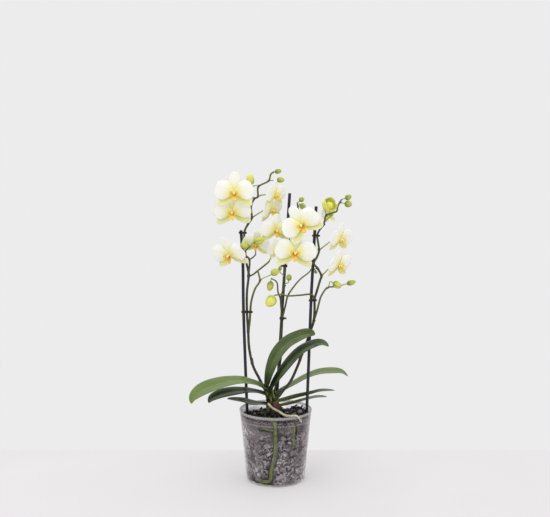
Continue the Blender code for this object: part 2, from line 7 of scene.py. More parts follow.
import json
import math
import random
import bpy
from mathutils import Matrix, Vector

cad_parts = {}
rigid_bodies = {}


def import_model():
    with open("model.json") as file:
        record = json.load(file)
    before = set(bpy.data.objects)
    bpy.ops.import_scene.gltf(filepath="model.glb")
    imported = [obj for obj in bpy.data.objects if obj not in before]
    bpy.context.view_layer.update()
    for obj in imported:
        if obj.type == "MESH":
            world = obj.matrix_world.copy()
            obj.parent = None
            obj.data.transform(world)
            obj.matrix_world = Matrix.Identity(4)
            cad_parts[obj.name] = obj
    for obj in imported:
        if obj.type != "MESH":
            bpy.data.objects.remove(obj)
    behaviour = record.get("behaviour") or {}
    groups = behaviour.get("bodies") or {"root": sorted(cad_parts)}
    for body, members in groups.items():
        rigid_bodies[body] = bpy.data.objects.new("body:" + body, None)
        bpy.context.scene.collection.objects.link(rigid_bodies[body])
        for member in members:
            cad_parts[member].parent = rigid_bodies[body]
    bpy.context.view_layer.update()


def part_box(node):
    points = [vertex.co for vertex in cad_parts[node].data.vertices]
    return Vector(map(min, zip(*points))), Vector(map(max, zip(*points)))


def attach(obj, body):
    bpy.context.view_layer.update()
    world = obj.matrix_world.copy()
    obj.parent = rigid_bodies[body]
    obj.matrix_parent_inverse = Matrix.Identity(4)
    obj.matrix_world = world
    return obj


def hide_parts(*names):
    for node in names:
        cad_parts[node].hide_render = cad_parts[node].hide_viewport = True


bl_info = {
    "name": "Potted Orchid",
    "version": (1, 0, 0),
    "blender": (4, 5, 0),
    "location": "3D View > Sidebar > Orchid",
    "description": "Builds the visible pieces of a potted orchid round its packed model",
    "category": "Add Mesh",
}

import bmesh
import bpy
import numpy as np
from bpy.props import FloatProperty, FloatVectorProperty, IntProperty, PointerProperty
from mathutils import Matrix, Vector, noise

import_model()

MM = 0.001
POT_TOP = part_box("pot")[1]
RIM_RADIUS = POT_TOP[0] / MM
POT_HEIGHT = POT_TOP[2] / MM
SOIL_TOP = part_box("substrate")[1][2] / MM

# Pot wall, from the foot to the rim band
RIM_BAND = 4.0
RIM_STEP = 1.2
WALL_FOOT_RADIUS = 48.8
FOOT_RADIUS = 46.5
FOOT_CHAMFER = 4.0
FLOOR = 1.4
DRAINS = 8
DRAIN_RING = 32.0
DRAIN_RADIUS = 3.5
SLOT_SIZE = (9.0, 5.0, 5.0)
SLOT_TURN = -57.0
RING_HEIGHTS = (104.5, 109.5)  # two shallow stacking rings below the rim
RING_SIZE = (0.9, 0.45)  # half height and how far it stands out
WALL_ROW = 2.5  # height between the rows of points up the wall
ROOT_EASE = 0.7  # room between a root and the wall that it runs down
ROOT_TOUCH = 3.4  # how near a root is where the wall starts to clear of mist
ROOT_FADE = 1.5
RIM_SHINE, RING_SHINE = 0.4, 0.22  # how milky the thicker rim and rings are

# Crown, which is narrower front to back
CROWN_AT = (-10.0, 0.0)
CROWN_DEPTH = 0.8
CROWN_LEAN = 9.5  # how far to the right its foot stands
CROWN_LEVELS = (  # radius and height, in and out with each old sheath
    (12.0, 107), (12.5, 110), (11.4, 113), (12.2, 115.5), (11.0, 118), (12.0, 121), (10.6, 124), (11.2, 127),
    (9.6, 130), (9.0, 134), (7.6, 139), (7.4, 144), (6.4, 150), (4.5, 155), (2.0, 158),
)

CANE_RADIUS = 2.5
CANES = {
    "cane_left": ((-45.5, 13, 40), (-47.7, 12, 112), (-53, 14, 275), (-54, 17, 362), (-57, 20, 415)),
    "cane_middle": ((-3.5, 31, 40), (1, 29, 112), (12, 23, 302), (23, 18, 476)),
    "cane_right": ((46.5, 4, 40), (50, 5, 85), (52, 6, 119), (58, 9, 292), (60, 10, 337), (66, 12, 455)),
}

# Clips: the middles of the cane and the last stem that one holds, its height, and its grips' side
CLIPS = {
    "clip_left_low": (((-53, 14), (-41.8, 13)), 280, 1),
    "clip_left_high": (((-56.8, 19.8), (-51.3, 17)), 411, 1),
    "clip_middle_low": (((10.2, 24), (10.6, 17)), 268, -1),
    "clip_middle_high": (((15.5, 21.2), (15.5, 15.5)), 356, 1),
    "clip_right_low": (((58.3, 9.2), (64, 10)), 300, 1),
    "clip_right_high": (((63.4, 11.2), (68.5, 10.3)), 407, 1),
}

# Leaves: points along the midrib, half width, way to the back edge at base and tip, and paleness
LEAVES = {
    "leaf_left_long": (
        ((-14, -3, 150), (-22, -6, 157), (-36, -9, 164), (-55, -12, 169), (-81, -18, 168),
         (-103, -24, 163), (-120, -29, 156), (-132, -33, 147), (-137, -36, 137)),
        21, (0, 1, 0.05), (-0.3, 0.8, 0.35), 0.75),
    "leaf_left_middle": (
        ((-14, -4, 140), (-23, -8, 147), (-42, -12, 152), (-63, -16, 152), (-84, -20, 149),
         (-102, -24, 143), (-110, -26, 136)),
        18, (0, 1, 0), (-0.25, 0.85, 0.25), 0.15),
    "leaf_left_low": (
        ((-14, -5, 126), (-24, -10, 130), (-40, -14, 132), (-58, -18, 137), (-80, -22, 142)),
        16, (0, 1, -0.02), (0, 1, 0.02), 0.0),
    "leaf_right_tall": (
        ((-12, -3, 156), (-11, -4, 168), (-7, -8, 190), (3, -13, 213), (20, -18, 233),
         (40, -23, 245), (54, -27, 250), (64, -30, 250)),
        20, (-0.7, 0.7, 0), (0, 0.94, 0.34), 0.35),
    "leaf_right_arching": (
        ((-6, -4, 152), (-1, -5, 164), (12, -10, 185), (28, -16, 206), (44, -21, 222),
         (62, -26, 232), (75, -29, 235), (86, -32, 231)),
        18, (-0.6, 0.8, 0), (0, 0.97, 0.2), 0.3),
    "leaf_right_pale": (
        ((-4, 3, 135), (8, 7, 145), (20, 14, 151), (32, 20, 156), (53, 30, 165), (74, 36, 171),
         (96, 40, 172), (112, 43, 170), (123, 45, 163)),
        20, (0, 1, 0), (0, 1, 0.05), 0.7),
    "leaf_right_back": (
        ((-5, 5, 127), (8, 11, 129), (28, 20, 132), (54, 29, 136), (76, 36, 140), (101, 44, 139)),
        16, (0, 0.8, -0.6), (0, 0.97, -0.26), 0.0),
    "leaf_right_low": (
        ((-5, 4, 119), (11, 10, 122), (32, 17, 125), (54, 22, 130), (71, 27, 132), (87, 32, 131)),
        12, (0, 0.8, -0.6), (0, 0.97, -0.26), 0.0),
}

# Stems: each spike is a list of runs, and a run is its radius at start and end, then its points
SPIKES = {
    "spike_left": (
        (2.4, 1.3, ((-14, 6, 142), (-22, 9, 158), (-28, 9, 170), (-38, 10, 191), (-44, 12, 220),
                    (-45.5, 13, 247), (-47.4, 13.5, 279), (-47.4, 14, 312), (-44.5, 14, 342),
                    (-48.5, 15, 364), (-50.5, 14, 390), (-51.3, 17, 412), (-45, 13, 426),
                    (-39, 11, 436), (-40, 11, 454), (-35, 11, 467), (-29, 11, 471), (-28, 11, 487),
                    (-12, 11, 496), (-8, 11, 507), (-3, 10, 511))),
        (2.0, 1.5, ((-45.5, 13, 247), (-43, 13, 264), (-41.8, 13, 282), (-40, 12, 299),
                    (-34, 9, 319), (-26, 6, 333), (-29, 5, 349))),
        (1.4, 1.5, ((-44.8, 14, 339), (-37, 10, 343), (-29, 6, 350), (-14, 6, 362), (-11, 7, 365))),
        (1.7, 1.2, ((-44.5, 14, 342), (-43, 6, 368), (-53, -2, 379), (-48, -5, 385), (-41, -8, 392))),
        (1.2, 1.2, ((-43, 6, 368), (-37, 5, 372), (-33, 6, 376))),
    ),
    "spike_middle": (
        (2.4, 1.2, ((-8, 5, 138), (0, 13, 152), (6, 15, 182), (8.5, 16, 224), (10.6, 17, 268),
                    (9, 16, 300), (14, 14, 323), (14, 14, 337), (15.5, 15.5, 356), (20, 11, 388),
                    (28, 8, 418), (35, 6, 440), (36, 4, 452), (35, 3, 461))),
        (1.7, 1.0, ((10.6, 17, 268), (16, 14, 290), (20, 12, 307), (30, 10, 323), (41, 8, 336),
                    (54, 4, 347), (58, 3, 353))),
        (1.5, 1.1, ((9, 16, 300), (4, 11, 313), (2, 8, 330), (-7, 6, 337))),
    ),
    "spike_right": (
        (2.4, 1.3, ((-4, -5, 134), (5, -6, 142), (12, -5, 151), (25, -1, 167), (36, 4, 190),
                    (42, 9, 205), (50, 13, 225), (57.5, 15, 247), (63, 13.5, 265), (64.2, 11, 288),
                    (64, 10, 302), (67, 9, 313), (73, 8, 334), (75, 8, 341), (69, 8, 353),
                    (62.5, 5, 362), (68, 8, 373), (71, 9, 383), (69, 10, 398), (68, 10.5, 408),
                    (72, 9, 417), (78, 8, 425), (80, 8, 433), (82, 8, 440), (90, 8, 444),
                    (99, 8, 447), (101, 8, 455), (104, 8, 461), (107, 8, 466))),
        (1.8, 1.2, ((63, 13.5, 265), (68, 10, 282), (71.5, 7, 297), (75, 7, 308), (84, 7, 321),
                    (94, 7, 323), (108, 7, 325))),
        (1.6, 1.2, ((64, 10, 302), (58, 3, 311), (40, 1, 310), (20, 0, 309), (10, -2, 312),
                    (0, -4, 311))),
    ),
}

# Flowers: column face, yaw to the right, pitch up, roll to the left, span, stalk start and lip warmth
FLOWERS = (
    ("spike_left", (-66, -20, 478), -5, -5, 0, 61, (-35, 11, 467), 0.35),
    ("spike_left", (-70, -3, 446), -5, -12, 3, 60, (-45, 13, 426), 0.0),
    ("spike_left", (-75, -14, 377), -25, -22, 8, 58, (-50.5, 14, 390), 1.0),
    ("spike_left", (0, -13, 474), 52, -5, 0, 46, (-29, 11, 471), 0.2),
    ("spike_left", (-6, -2, 449), 45, -12, 12, 44, (-39, 11, 436), 0.15),
    ("spike_middle", (1, -12, 417), 15, -12, 0, 50, (28, 8, 418), 0.1),
    ("spike_left", (-32, 0, 393), -8, -20, -10, 44, (-33, 6, 376), 0.5),
    ("spike_middle", (42, -36, 428), -8, -5, 32, 62, (28, 8, 418), 0.5),
    ("spike_middle", (31, -22, 382), 4, -6, -6, 64, (20, 11, 388), 0.5),
    ("spike_left", (2, -6, 384), -20, -10, 10, 34, (-11, 7, 365), 0.0),
    ("spike_right", (86, 31, 438), -128, -12, 0, 32, (78, 8, 425), 0.5),
    ("spike_right", (106, 2, 400), 46, -12, 0, 50, (71, 9, 383), 0.2),
    ("spike_right", (104, 2, 358), 46, -12, 0, 50, (75, 8, 341), 0.4),
)
FLOWER_SPAN = 60.0
FLOWER_CENTRE = 8.0  # from where the stalk meets the flower to the face of its column

# Buds: middle, yaw and pitch of the tip, length, width, stalk start and yellowness
BUDS = (
    ("spike_left", (-41, 10, 499), -20, 70, 18, 13, (-28, 11, 487), 1.0),
    ("spike_left", (4, 10, 512), 90, 10, 11, 8, (-3, 10, 511), 0.1),
    ("spike_left", (8, 12, 498), 90, 5, 12, 9, (-12, 11, 496), 0.25),
    ("spike_middle", (42, 2, 467), 70, 40, 9, 8, (35, 3, 461), 0.1),
    ("spike_middle", (44, 0, 456), 80, -30, 10, 10, (36, 4, 452), 0.1),
    ("spike_right", (86, 4, 456), 35, 35, 20, 20, (82, 8, 440), 0.8),
    ("spike_right", (118, 8, 470), 90, 20, 11, 9, (107, 8, 466), 0.1),
    ("spike_right", (118, 8, 459), 90, -10, 12, 11, (104, 8, 461), 0.15),
    ("spike_left", (-27, -16, 402), 60, 20, 19, 13, (-41, -8, 392), 0.5),
    ("spike_left", (-50, -12, 394), -40, 30, 15, 12, (-53, -2, 379), 0.5),
    ("spike_left", (-1, 2, 348), 60, 30, 15, 12, (-26, 6, 333), 0.6),
    ("spike_middle", (22, 5, 339), 20, 70, 11, 9, (14, 14, 323), 0.1),
    ("spike_middle", (-9, 2, 325), -30, -75, 16, 11, (-7, 6, 337), 0.3),
    ("spike_right", (-8, -6, 301), -50, -50, 20, 18, (0, -4, 311), 0.9),
    ("spike_right", (100, -5, 328), 80, -25, 15, 12, (84, 7, 321), 0.5),
    ("spike_right", (124, 6, 330), 85, 15, 15, 9, (108, 7, 325), 0.2),
    ("spike_middle", (7, 6, 354), -10, 75, 7, 6, (14, 14, 337), 0.0),
    ("spike_right", (66, 16, 346), 40, -60, 6, 5, (69, 8, 353), 0.2),
)
OPENING_BUD = 5  # the one whose sepals already part

FLOWER_STALK = 1.0
BUD_STALK = 0.8


def linear(code):
    """Linear colour with alpha of an sRGB hex code."""
    shares = [int(code[i : i + 2], 16) / 255 for i in (0, 2, 4)]
    return (*(c / 12.92 if c <= 0.04045 else ((c + 0.055) / 1.055) ** 2.4 for c in shares), 1.0)


def colour(name, description, code):
    return FloatVectorProperty(
        name=name, description=description, default=linear(code), size=4, min=0, max=1, subtype="COLOR")


def length(name, description, mm):
    return FloatProperty(
        name=name, description=description, default=mm * MM, min=0, subtype="DISTANCE", unit="LENGTH")


def share(name, description, value):
    return FloatProperty(
        name=name, description=description, default=value, min=0, max=1, subtype="FACTOR")


def count(name, description, value):
    return IntProperty(name=name, description=description, default=value, min=0)


class PotSettings(bpy.types.PropertyGroup):
    wall: length("Wall", "Thickness of the pot's wall", 1.0)
    plastic: colour("Plastic", "Clear plastic", "F2F0F0")
    haze: colour("Haze", "Condensation on the inside of the wall", "968D91")
    haze_low: share("Least haze", "How much the wall hides where it is clearest", 0.0)
    haze_high: share("Most haze", "How much the wall hides where it is mistiest", 0.22)
    # Dark bark is wet bark, and on the core it is the painted shade in the gaps between chips.
    bark_dark: colour("Dark bark", "Wet bark and gaps", "100B0C")
    bark_light: colour("Light bark", "Dry faces of the chips", "D2C6CA")
    wall_chips: count("Chips at the wall", "Bark chips that show through the wall", 1300)
    top_chips: count("Chips on top", "Bark chips on the surface", 320)
    root_green: colour("Wet root", "Living root behind the wall", "7C8848")
    root_silver: colour("Dry root", "Root in the air", "CFCAB4")


class PlantSettings(bpy.types.PropertyGroup):
    # Dark leaf is also the colour of the painted shade towards the foot of each blade.
    leaf_dark: colour("Dark leaf", "Old leaves", "1C3010")
    leaf_light: colour("Light leaf", "Young leaves", "748C44")
    leaf_under: colour("Leaf underside", "Underside of a leaf", "8AA05E")
    leaf_thickness: length("Leaf thickness", "Thickness along the midrib", 1.8)
    stem_old: colour("Old stem", "Foot of a flower stem", "2C2A16")
    stem_young: colour("Young stem", "Flower stalks", "A9B052")
    bract: colour("Bract", "Dry sheaths at the nodes", "6E6A3C")
    crown_green: colour("Crown", "Leaf sheaths round the crown", "8A9440")
    crown_brown: colour("Crown base", "Old sheaths at the foot of the crown", "6A3422")


class FlowerSettings(bpy.types.PropertyGroup):
    petal: colour("Petal", "Petals and upper sepal", "FFFFF8")
    heart: colour("Heart", "Foot of the petals", "F4EE8C")
    sepal: colour("Sepal", "Flush along the lower sepals", "D9DE62")
    lip_yellow: colour("Yellow lip", "Side lobes of the lip", "FCE468")
    lip_orange: colour("Orange lip", "Middle lobe of the lip", "EBA82C")
    lip_brown: colour("Brown lip", "Bars and dots on the lip", "B0591F")
    bud_green: colour("Green bud", "Young buds", "74892B")
    bud_yellow: colour("Yellow bud", "Buds about to open", "E4E66E")
    tepal_thickness: length("Petal thickness", "Thickness of a petal at its middle", 0.9)


class StageSettings(bpy.types.PropertyGroup):
    floor: colour("Floor", "Matt painted board under the pot", "B4B2B3")
    wall: colour("Backdrop", "Even light behind and around the plant", "EDECED")
    key: FloatProperty(
        name="Key light", description="Power of the soft light", default=8.0, unit="POWER")
    lens: FloatProperty(name="Lens", description="Focal length in millimetres", default=70.89)


# ---------------------------------------------------------------- materials

# Tints that no setting changes
EARTH = "3A2C22"
SHADED_SHEATH = "15180B"
DARK_FIBRE = "1F1512"
BRACT_FIBRE = "3B351F"


def node(tree, kind, sockets=None, stops=(), **settings):
    """Adds one node. A socket given another node's socket is linked, and any other is set."""
    made = tree.nodes.new(f"ShaderNode{kind}")
    for name, value in settings.items():
        setattr(made, name, value)
    for name, value in (sockets or {}).items():
        if isinstance(value, bpy.types.NodeSocket):
            tree.links.new(value, made.inputs[name])
        else:
            made.inputs[name].default_value = value
    for i, (place, tint) in enumerate(stops):
        stop = made.color_ramp.elements[i] if i < 2 else made.color_ramp.elements.new(place)
        stop.position = place
        stop.color = tint
    return made


def start_material(name, **constants):
    """A material and its tree, with the numbers that are the same all over set on the shader."""
    made = bpy.data.materials.new(name)
    made.use_nodes = True
    shader = made.node_tree.nodes["Principled BSDF"]
    for socket, value in constants.items():
        shader.inputs[socket.replace("_", " ")].default_value = value
    return made, made.node_tree, shader


def wire(tree, shader, **outputs):
    """Links outputs to the shader's sockets, which are named with _ for a space."""
    for socket, output in outputs.items():
        tree.links.new(output, shader.inputs[socket.replace("_", " ")])


def every(mm):
    """Scale of a pattern whose features are this far apart, in metres to the minus one."""
    return 1 / (mm * MM)


def clear_polypropylene(pot):
    """Moulded polypropylene: clear and glossy, with mist and bright beads of water on its inside.

    The light crosses both faces of the wall, so each of them hides about half of what is wanted.
    """
    made, tree, shader = start_material("polypropylene_moulded_clear", IOR=1.49)
    place = node(tree, "TexCoord").outputs["Object"]
    axes = node(tree, "SeparateXYZ", {0: place}).outputs
    touch = node(tree, "Attribute", attribute_name="touch").outputs["Fac"]
    bead = node(tree, "Attribute", attribute_name="bead").outputs["Fac"]
    mist = node(tree, "TexNoise", {"Vector": place, "Scale": every(24), "Detail": 3}).outputs["Fac"]
    zones = node(tree, "TexNoise", {"Vector": place, "Scale": every(34), "Detail": 1}).outputs["Fac"]
    drops = node(tree, "TexNoise", {
        "Vector": place, "Scale": every(4.2), "Detail": 5, "Distortion": 0.8}).outputs["Fac"]
    patchy = node(tree, "MapRange", {
        "Value": mist, "From Min": 0.38, "From Max": 0.62,
        "To Min": pot.haze_low, "To Max": pot.haze_high}).outputs[0]
    cool = node(tree, "MapRange", {
        "Value": axes["X"], "From Min": -0.05, "From Max": -0.01, "To Min": 0.4, "To Max": 0.0}).outputs[0]
    warm = node(tree, "MapRange", {
        "Value": axes["X"], "From Min": 0.012, "From Max": 0.035, "To Min": 0.0, "To Max": 0.12}).outputs[0]
    sides = node(tree, "Math", {0: cool, 1: warm}, operation="ADD").outputs[0]
    upper = node(tree, "MapRange", {"Value": axes["Z"], "From Min": 0.066, "From Max": 0.092}).outputs[0]
    all_mist = node(tree, "Math", {0: sides, 1: upper, 2: patchy}, operation="MULTIPLY_ADD").outputs[0]
    below = node(tree, "MapRange", {
        "Value": axes["Z"], "From Min": 0.106, "From Max": 0.113, "To Min": 1.0, "To Max": 0.3}).outputs[0]
    smooth_mist = node(tree, "Math", {0: all_mist, 1: below}, operation="MULTIPLY").outputs[0]
    wetted = node(tree, "MapRange", {
        "Value": zones, "From Min": 0.4, "From Max": 0.56, "To Min": 0.15}).outputs[0]
    lower = node(tree, "MapRange", {
        "Value": axes["Z"], "From Min": 0.088, "From Max": 0.104, "To Min": 1.0, "To Max": 0.0}).outputs[0]
    where = node(tree, "Math", {0: wetted, 1: lower}, operation="MULTIPLY").outputs[0]
    beads = node(tree, "MapRange", {
        "Value": drops, "From Min": 0.51, "From Max": 0.6, "To Min": 0.0, "To Max": 0.44}).outputs[0]
    droplets = node(tree, "Math", {0: beads, 1: where}, operation="MULTIPLY").outputs[0]
    hidden = node(tree, "Math", {0: smooth_mist, 1: droplets}, operation="ADD").outputs[0]
    dry = node(tree, "Math", {0: touch, 1: -0.85, 2: 1.0}, operation="MULTIPLY_ADD").outputs[0]
    misted = node(tree, "Math", {0: hidden, 1: dry}, operation="MULTIPLY").outputs[0]
    edge = node(tree, "LayerWeight", {"Blend": 0.2}).outputs["Facing"]
    glare = node(tree, "MapRange", {
        "Value": edge, "From Min": 0.2, "From Max": 0.8, "To Min": 0.0, "To Max": 0.85}).outputs[0]
    lit = node(tree, "Math", {0: bead, 1: glare}, operation="MAXIMUM").outputs[0]
    alpha = node(tree, "Math", {0: misted, 1: lit}, operation="ADD", use_clamp=True).outputs[0]
    bright = node(tree, "Math", {0: lit, 1: droplets}, operation="ADD", use_clamp=True).outputs[0]
    tint = node(tree, "Mix", {0: bright, 6: pot.haze[:], 7: pot.plastic[:]}, data_type="RGBA").outputs[2]
    gloss = node(tree, "MapRange", {"Value": drops, "To Min": 0.14, "To Max": 0.4}).outputs[0]
    ripple = node(tree, "Bump", {"Height": drops, "Strength": 0.12, "Distance": 0.3 * MM}).outputs[0]
    wire(tree, shader, Base_Color=tint, Alpha=alpha, Roughness=gloss, Normal=ripple)
    return made


def pine_bark(pot):
    """Chipped pine bark: dull, in layers, each chip of its own brown."""
    made, tree, shader = start_material("pine_bark_chipped", IOR=1.4)
    place = node(tree, "TexCoord").outputs["Object"]
    tone = node(tree, "Attribute", attribute_name="tone").outputs["Fac"]
    layers = node(tree, "Mapping", {"Vector": place, "Scale": (1, 1, 3)}).outputs[0]
    grain = node(tree, "TexNoise", {"Vector": layers, "Scale": every(1.6), "Detail": 6}).outputs["Fac"]
    flecks = node(tree, "TexVoronoi", {"Vector": place, "Scale": every(1.1)}).outputs["Distance"]
    mixed = node(tree, "Math", {0: grain, 1: 0.9, 2: -0.45}, operation="MULTIPLY_ADD")
    factor = node(tree, "Math", {0: tone, 1: mixed.outputs[0]}, operation="ADD", use_clamp=True)
    tint = node(tree, "Mix", {
        0: factor.outputs[0], 6: pot.bark_dark[:], 7: pot.bark_light[:]}, data_type="RGBA")
    relief = node(tree, "Math", {0: grain, 1: flecks}, operation="ADD")
    rough = node(tree, "Bump", {"Height": relief.outputs[0], "Strength": 0.8, "Distance": 0.7 * MM})
    dull = node(tree, "MapRange", {"Value": grain, "To Min": 0.7, "To Max": 0.95})
    wire(tree, shader, Base_Color=tint.outputs[2], Normal=rough.outputs[0], Roughness=dull.outputs[0])
    return made


def root_skin(name, tint_low, tint_high, earth, roughness):
    """Living root: a spongy skin, velvety where dry, green where wet, and earthy among the bark."""
    made, tree, shader = start_material(name, IOR=1.4, Roughness=roughness)
    place = node(tree, "TexCoord").outputs["Object"]
    blotch = node(tree, "TexNoise", {"Vector": place, "Scale": every(7), "Detail": 5}).outputs["Fac"]
    pores = node(tree, "TexNoise", {"Vector": place, "Scale": every(0.9), "Detail": 3}).outputs["Fac"]
    spread = node(tree, "MapRange", {"Value": blotch, "From Min": 0.35, "From Max": 0.65})
    clean = node(tree, "Mix", {0: spread.outputs[0], 6: tint_low, 7: tint_high}, data_type="RGBA").outputs[2]
    height = node(tree, "SeparateXYZ", {0: place}).outputs["Z"]
    soiled = node(tree, "MapRange", {
        "Value": height, "From Min": 0.109, "From Max": 0.114, "To Min": 0.0, "To Max": earth}).outputs[0]
    tint = node(tree, "Mix", {0: soiled, 6: clean, 7: linear(EARTH)}, data_type="RGBA")
    rough = node(tree, "Bump", {"Height": pores, "Strength": 0.5, "Distance": 0.3 * MM})
    wire(tree, shader, Base_Color=tint.outputs[2], Normal=rough.outputs[0])
    return made


def waxy_leaf(plant):
    """Grown leaf: a waxy skin with fine lengthwise veins, a pale midrib that is partly a painted highlight,
    a paler underside and painted shade towards its foot.
    """
    made, tree, shader = start_material(
        "orchid_leaf_waxy", IOR=1.46, Specular_IOR_Level=0.35, Coat_Weight=0.1, Coat_Roughness=0.28)
    place = node(tree, "TexCoord").outputs["Object"]
    along = node(tree, "Attribute", attribute_name="along").outputs["Fac"]
    across = node(tree, "Attribute", attribute_name="across").outputs["Fac"]
    face = node(tree, "Attribute", attribute_name="face").outputs["Fac"]
    tone = node(tree, "Attribute", attribute_name="tone").outputs["Fac"]
    strip = node(tree, "CombineXYZ", {"X": along, "Y": across}).outputs[0]
    stretched = node(tree, "Mapping", {"Vector": strip, "Scale": (2.5, 17, 1)}).outputs[0]
    veins = node(tree, "TexNoise", {"Vector": stretched, "Scale": 1.0, "Detail": 3}).outputs["Fac"]
    cloudy = node(tree, "TexNoise", {"Vector": place, "Scale": every(32), "Detail": 2}).outputs["Fac"]
    grain = node(tree, "TexNoise", {"Vector": place, "Scale": every(0.8), "Detail": 2}).outputs["Fac"]
    shades = node(tree, "Math", {0: veins, 1: cloudy}, operation="ADD")
    centred = node(tree, "Math", {0: shades.outputs[0], 1: 0.55, 2: -0.55}, operation="MULTIPLY_ADD")
    # Painted shade: the blade is darkened towards its foot and sheath, where the leaves above shade it; the
    # veins and clouds add its own mottle.
    young = node(tree, "MapRange", {
        "Value": along, "From Min": 0.12, "From Max": 0.5, "To Min": -0.8, "To Max": 0.0})
    base_shade_and_mottle = node(tree, "Math", {0: young.outputs[0], 1: centred.outputs[0]}, operation="ADD")
    pale = node(tree, "Math", {0: tone, 1: base_shade_and_mottle.outputs[0]}, operation="ADD", use_clamp=True)
    blade_tint = node(tree, "Mix", {
        0: pale.outputs[0], 6: plant.leaf_dark[:], 7: plant.leaf_light[:]}, data_type="RGBA")
    # Pale midrib: partly the leaf's own paler rib, partly a painted highlight along the fold.
    off_midrib = node(tree, "Math", {0: across}, operation="ABSOLUTE")
    midrib = node(tree, "MapRange", {
        "Value": off_midrib.outputs[0], "From Min": 0.015, "From Max": 0.07, "To Min": 0.45, "To Max": 0.0})
    ribbed = node(tree, "Mix", {
        0: midrib.outputs[0], 6: blade_tint.outputs[2], 7: plant.leaf_under[:]}, data_type="RGBA")
    under = node(tree, "MapRange", {
        "Value": face, "From Min": -0.1, "From Max": -0.8, "To Min": 0.0, "To Max": 0.65}).outputs[0]
    open_part = node(tree, "MapRange", {"Value": along, "From Min": 0.2, "From Max": 0.4}).outputs[0]
    shown = node(tree, "Math", {0: under, 1: open_part}, operation="MULTIPLY").outputs[0]
    tint = node(tree, "Mix", {0: shown, 6: ribbed.outputs[2], 7: plant.leaf_under[:]}, data_type="RGBA")
    relief = node(tree, "Math", {0: veins, 1: 0.6, 2: grain}, operation="MULTIPLY_ADD")
    bump = node(tree, "Bump", {"Height": relief.outputs[0], "Strength": 0.22, "Distance": 0.35 * MM})
    gloss = node(tree, "MapRange", {"Value": cloudy, "To Min": 0.26, "To Max": 0.44})
    sheath = node(tree, "MapRange", {
        "Value": along, "From Min": 0.12, "From Max": 0.27, "To Min": 0.8, "To Max": 0.0}).outputs[0]
    shaded = node(tree, "Mix", {
        0: sheath, 6: tint.outputs[2], 7: linear(SHADED_SHEATH)}, data_type="RGBA").outputs[2]
    wire(tree, shader, Base_Color=shaded, Normal=bump.outputs[0], Roughness=gloss.outputs[0])
    return made


def flower_stem(plant):
    """Grown stem: smooth olive skin with fine streaks, yellow-green where it is young."""
    made, tree, shader = start_material("orchid_stem_grown", IOR=1.45)
    place = node(tree, "TexCoord").outputs["Object"]
    youth = node(tree, "Attribute", attribute_name="tone").outputs["Fac"]
    drawn = node(tree, "Mapping", {"Vector": place, "Scale": (1, 1, 0.14)}).outputs[0]
    streaks = node(tree, "TexNoise", {"Vector": drawn, "Scale": every(1.4), "Detail": 4}).outputs["Fac"]
    dots = node(tree, "TexNoise", {"Vector": place, "Scale": every(0.7), "Detail": 2}).outputs["Fac"]
    centred = node(tree, "Math", {0: streaks, 1: 0.5, 2: -0.25}, operation="MULTIPLY_ADD")
    age = node(tree, "Math", {0: youth, 1: centred.outputs[0]}, operation="ADD", use_clamp=True)
    tint = node(tree, "Mix", {
        0: age.outputs[0], 6: plant.stem_old[:], 7: plant.stem_young[:]}, data_type="RGBA")
    bump = node(tree, "Bump", {"Height": dots, "Strength": 0.2, "Distance": 0.2 * MM})
    gloss = node(tree, "MapRange", {"Value": streaks, "To Min": 0.3, "To Max": 0.5})
    wire(tree, shader, Base_Color=tint.outputs[2], Normal=bump.outputs[0], Roughness=gloss.outputs[0])
    return made


def dry_bract(plant):
    """Dry sheath: papery, with lengthwise fibres."""
    made, tree, shader = start_material("orchid_bract_papery", IOR=1.4, Roughness=0.75)
    place = node(tree, "TexCoord").outputs["Object"]
    drawn = node(tree, "Mapping", {"Vector": place, "Scale": (1, 1, 0.2)}).outputs[0]
    fibres = node(tree, "TexNoise", {"Vector": drawn, "Scale": every(0.6), "Detail": 3}).outputs["Fac"]
    tint = node(tree, "Mix", {0: fibres, 6: linear(BRACT_FIBRE), 7: plant.bract[:]}, data_type="RGBA")
    bump = node(tree, "Bump", {"Height": fibres, "Strength": 0.4, "Distance": 0.2 * MM})
    wire(tree, shader, Base_Color=tint.outputs[2], Normal=bump.outputs[0])
    return made


def crown_sheaths(plant):
    """Leaf sheaths round the crown: fleshy and green above, dry red-brown fibre at the foot."""
    made, tree, shader = start_material("orchid_crown_sheathed", IOR=1.42, Roughness=0.6)
    place = node(tree, "TexCoord").outputs["Object"]
    drawn = node(tree, "Mapping", {"Vector": place, "Scale": (1, 1, 0.18)}).outputs[0]
    fibres = node(tree, "TexNoise", {"Vector": drawn, "Scale": every(1.0), "Detail": 4}).outputs["Fac"]
    height = node(tree, "SeparateXYZ", {0: place}).outputs["Z"]
    rise = node(tree, "MapRange", {"Value": height, "From Min": 0.13, "From Max": 0.14})
    uneven = node(tree, "Math", {0: fibres, 1: 0.9, 2: -0.45}, operation="MULTIPLY_ADD")
    green = node(tree, "Math", {0: rise.outputs[0], 1: uneven.outputs[0]}, operation="ADD", use_clamp=True)
    foot = node(tree, "MapRange", {"Value": height, "From Min": 0.118, "From Max": 0.126}).outputs[0]
    patch = node(tree, "Math", {0: foot, 1: fibres}, operation="MULTIPLY").outputs[0]
    bark = node(tree, "Mix", {
        0: patch, 6: linear(DARK_FIBRE), 7: plant.crown_brown[:]}, data_type="RGBA").outputs[2]
    tint = node(tree, "Mix", {0: green.outputs[0], 6: bark, 7: plant.crown_green[:]}, data_type="RGBA")
    bump = node(tree, "Bump", {"Height": fibres, "Strength": 0.6, "Distance": 0.5 * MM})
    wire(tree, shader, Base_Color=tint.outputs[2], Normal=bump.outputs[0])
    return made


